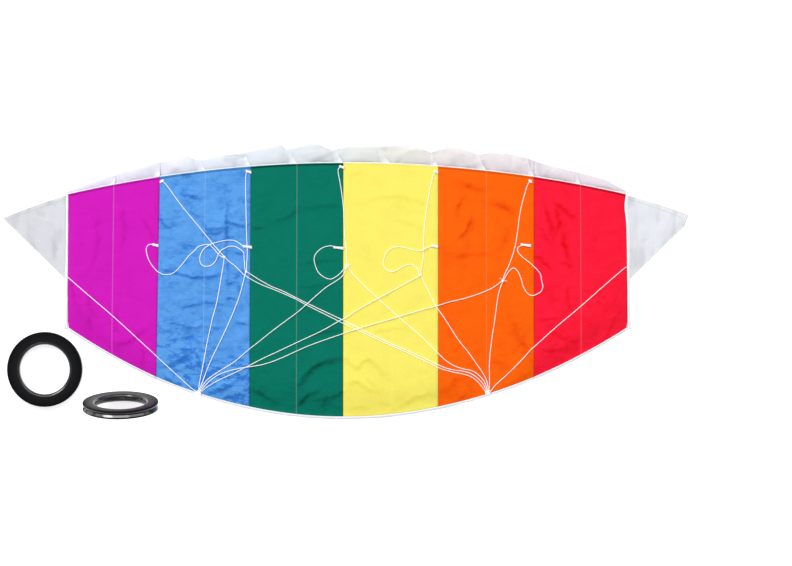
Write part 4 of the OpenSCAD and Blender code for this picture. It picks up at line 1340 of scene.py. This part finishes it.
def make_tabs():
    """The leading and middle webbing loops at the five inner main ribs."""
    for k, ((free, sewn), y) in enumerate(zip(LEAD_TABS, LEAD_TAB_Y)):
        make_tab(f"leading_tab_{k + 1}", free, sewn, y, "canopy_middle", "leading_tabs")
    for k, ((free, sewn), y) in enumerate(zip(MID_TABS, MID_TAB_Y)):
        if k == 0:
            make_tab("middle_tab_1", free, sewn, y, LEFT_FOLD, "middle_tab_left")
        else:
            make_tab(f"middle_tab_{k + 1}", free, sewn, y, "canopy_middle", "middle_tabs")


# ---------------------------------------------------------------- ring winders
def arc(centre, radius, start, stop, n):
    """n points of an arc, from one quarter turn to another."""
    turns = np.linspace(start, stop, n) * math.pi / 2
    return [(centre[0] + radius * math.cos(a), centre[1] + radius * math.sin(a)) for a in turns]


def ring_profile():
    """Half a ring's section, from the bore round the face to the groove, and how polished each point is.

    A point is its radius and its height over the ring's middle plane.
    """
    low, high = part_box("ring_1_lower")
    r0, r1 = MOUNTS["ring_1_bore"]["dims"]["r_mm"] / 1000, (high.x - low.x) / 2
    half = high.z - low.z
    round_r, bore_r, depth, lip = 0.002, 0.0058, 0.003, 0.0045
    inner = arc((r0 + bore_r, -half + bore_r), bore_r, 2, 3, 12)
    outer = arc((r1 - round_r, -half + round_r), round_r, 3, 4, 8)
    slope = [(r1 - depth * (1 - t), -lip * t) for t in np.linspace(0.94, 0.06, 8)]
    bore = [(r0 + 0.0001, -0.0001), (r0, -0.0004), *inner]
    groove = [(r1, -lip - 0.0004), *slope, (r1 - depth, -0.0001)]
    # The bore and the groove are polished and the face is matt
    polish = [0.6] * 4 + [0.9] * (len(bore) - 6) + [0.2] * 2
    polish += [0.04] * len(outer) + [0.4] + [1.0] * (len(groove) - 1)
    return bore + outer + groove, polish


def make_ring(n):
    """Both halves of a ring winder, pressed together on its middle plane."""
    mount = MOUNTS[f"ring_{n}_bore"]
    turn = Vector(mount["axis"]).to_track_quat("Z", "Y").to_matrix().to_4x4()
    place = Matrix.Translation(mount["pos_m"]) @ turn
    steps = 168
    profile, polish = ring_profile()
    for part, flip in (("lower", 1), ("upper", -1)):
        index = np.arange(steps * len(profile)).reshape(steps, len(profile))
        points = [place @ Vector((r * math.cos(a), r * math.sin(a), flip * z))
                  for a in 2 * math.pi * np.arange(steps) / steps for r, z in profile]
        after, beside = np.roll(index, -1, 0), np.roll(index, -1, 1)
        corner = np.roll(after, -1, 1)
        faces = np.stack([index, beside, corner, after], -1).reshape(-1, 4)[:, ::flip]
        flat = MM * np.stack(np.divmod(index.ravel(), len(profile)), -1)
        name = f"ring_{n}_{part}"
        shine = np.tile(polish, steps)
        piece = new_piece(f"{name}_shell", points, faces.tolist(), PLASTIC, flat, polish=shine)
        attach(piece, f"ring_{n}", "ring_black", name)


def make_floor():
    """The plain pale floor, just under the cloth."""
    size, low = 12, -0.0006
    corners = [(-size, -size, low), (size, -size, low), (size, size, low), (-size, size, low)]
    floor = new_piece("floor", corners, [[0, 1, 2, 3]], floor_material(), np.array(corners)[:, :2], False)


# ---------------------------------------------------------------- the kite
make_camera()
CLOTHS = {
    "magenta": cloth_material("cloth_magenta", (211, 26, 189), 0.22, 0.3, 0.06, 0.62),
    "blue": cloth_material("cloth_blue", (92, 162, 236), 0.25, 1.6, 0.14, 0.55),
    "green": cloth_material("cloth_green", (0, 117, 98), 0.26, 0.3, 0.06, 0.33),
    "yellow": cloth_material("cloth_yellow", (250, 237, 106), 0.14, 0.15, 0.03, 0.95),
    "orange": cloth_material("cloth_orange", (255, 101, 4), 0.13, 0.35, 0.06, 0.72),
    "red": cloth_material("cloth_red", (255, 26, 58), 0.18, 0.4, 0.06, 0.46),
}
WHITE = white_material("cloth_white")
RIB_WHITE = white_material("rib_white", (234, 236, 242), 0.03)
TAPE = tape_material("tape_white", (244, 247, 252), 0.0011, 0.1)
WEBBING = tape_material("webbing_white", (252, 252, 254), 0.0009, 0.3)
LINE_WHITE = line_material()
PLASTIC = plastic_material()

line_paths = make_bridle()
make_tails()
make_knots()
cloth_shape = Canopy(line_paths)
make_panels(cloth_shape)
make_upper_skin(cloth_shape)
for rib in range(1, 12):
    make_rib(cloth_shape, rib)
for hand in (-1, 1):
    make_side(cloth_shape, hand)
    make_tip(hand)
make_strips(cloth_shape)
make_tabs()
make_ring(1)
make_ring(2)
make_floor()
make_light()

bpy.context.view_layer.update()
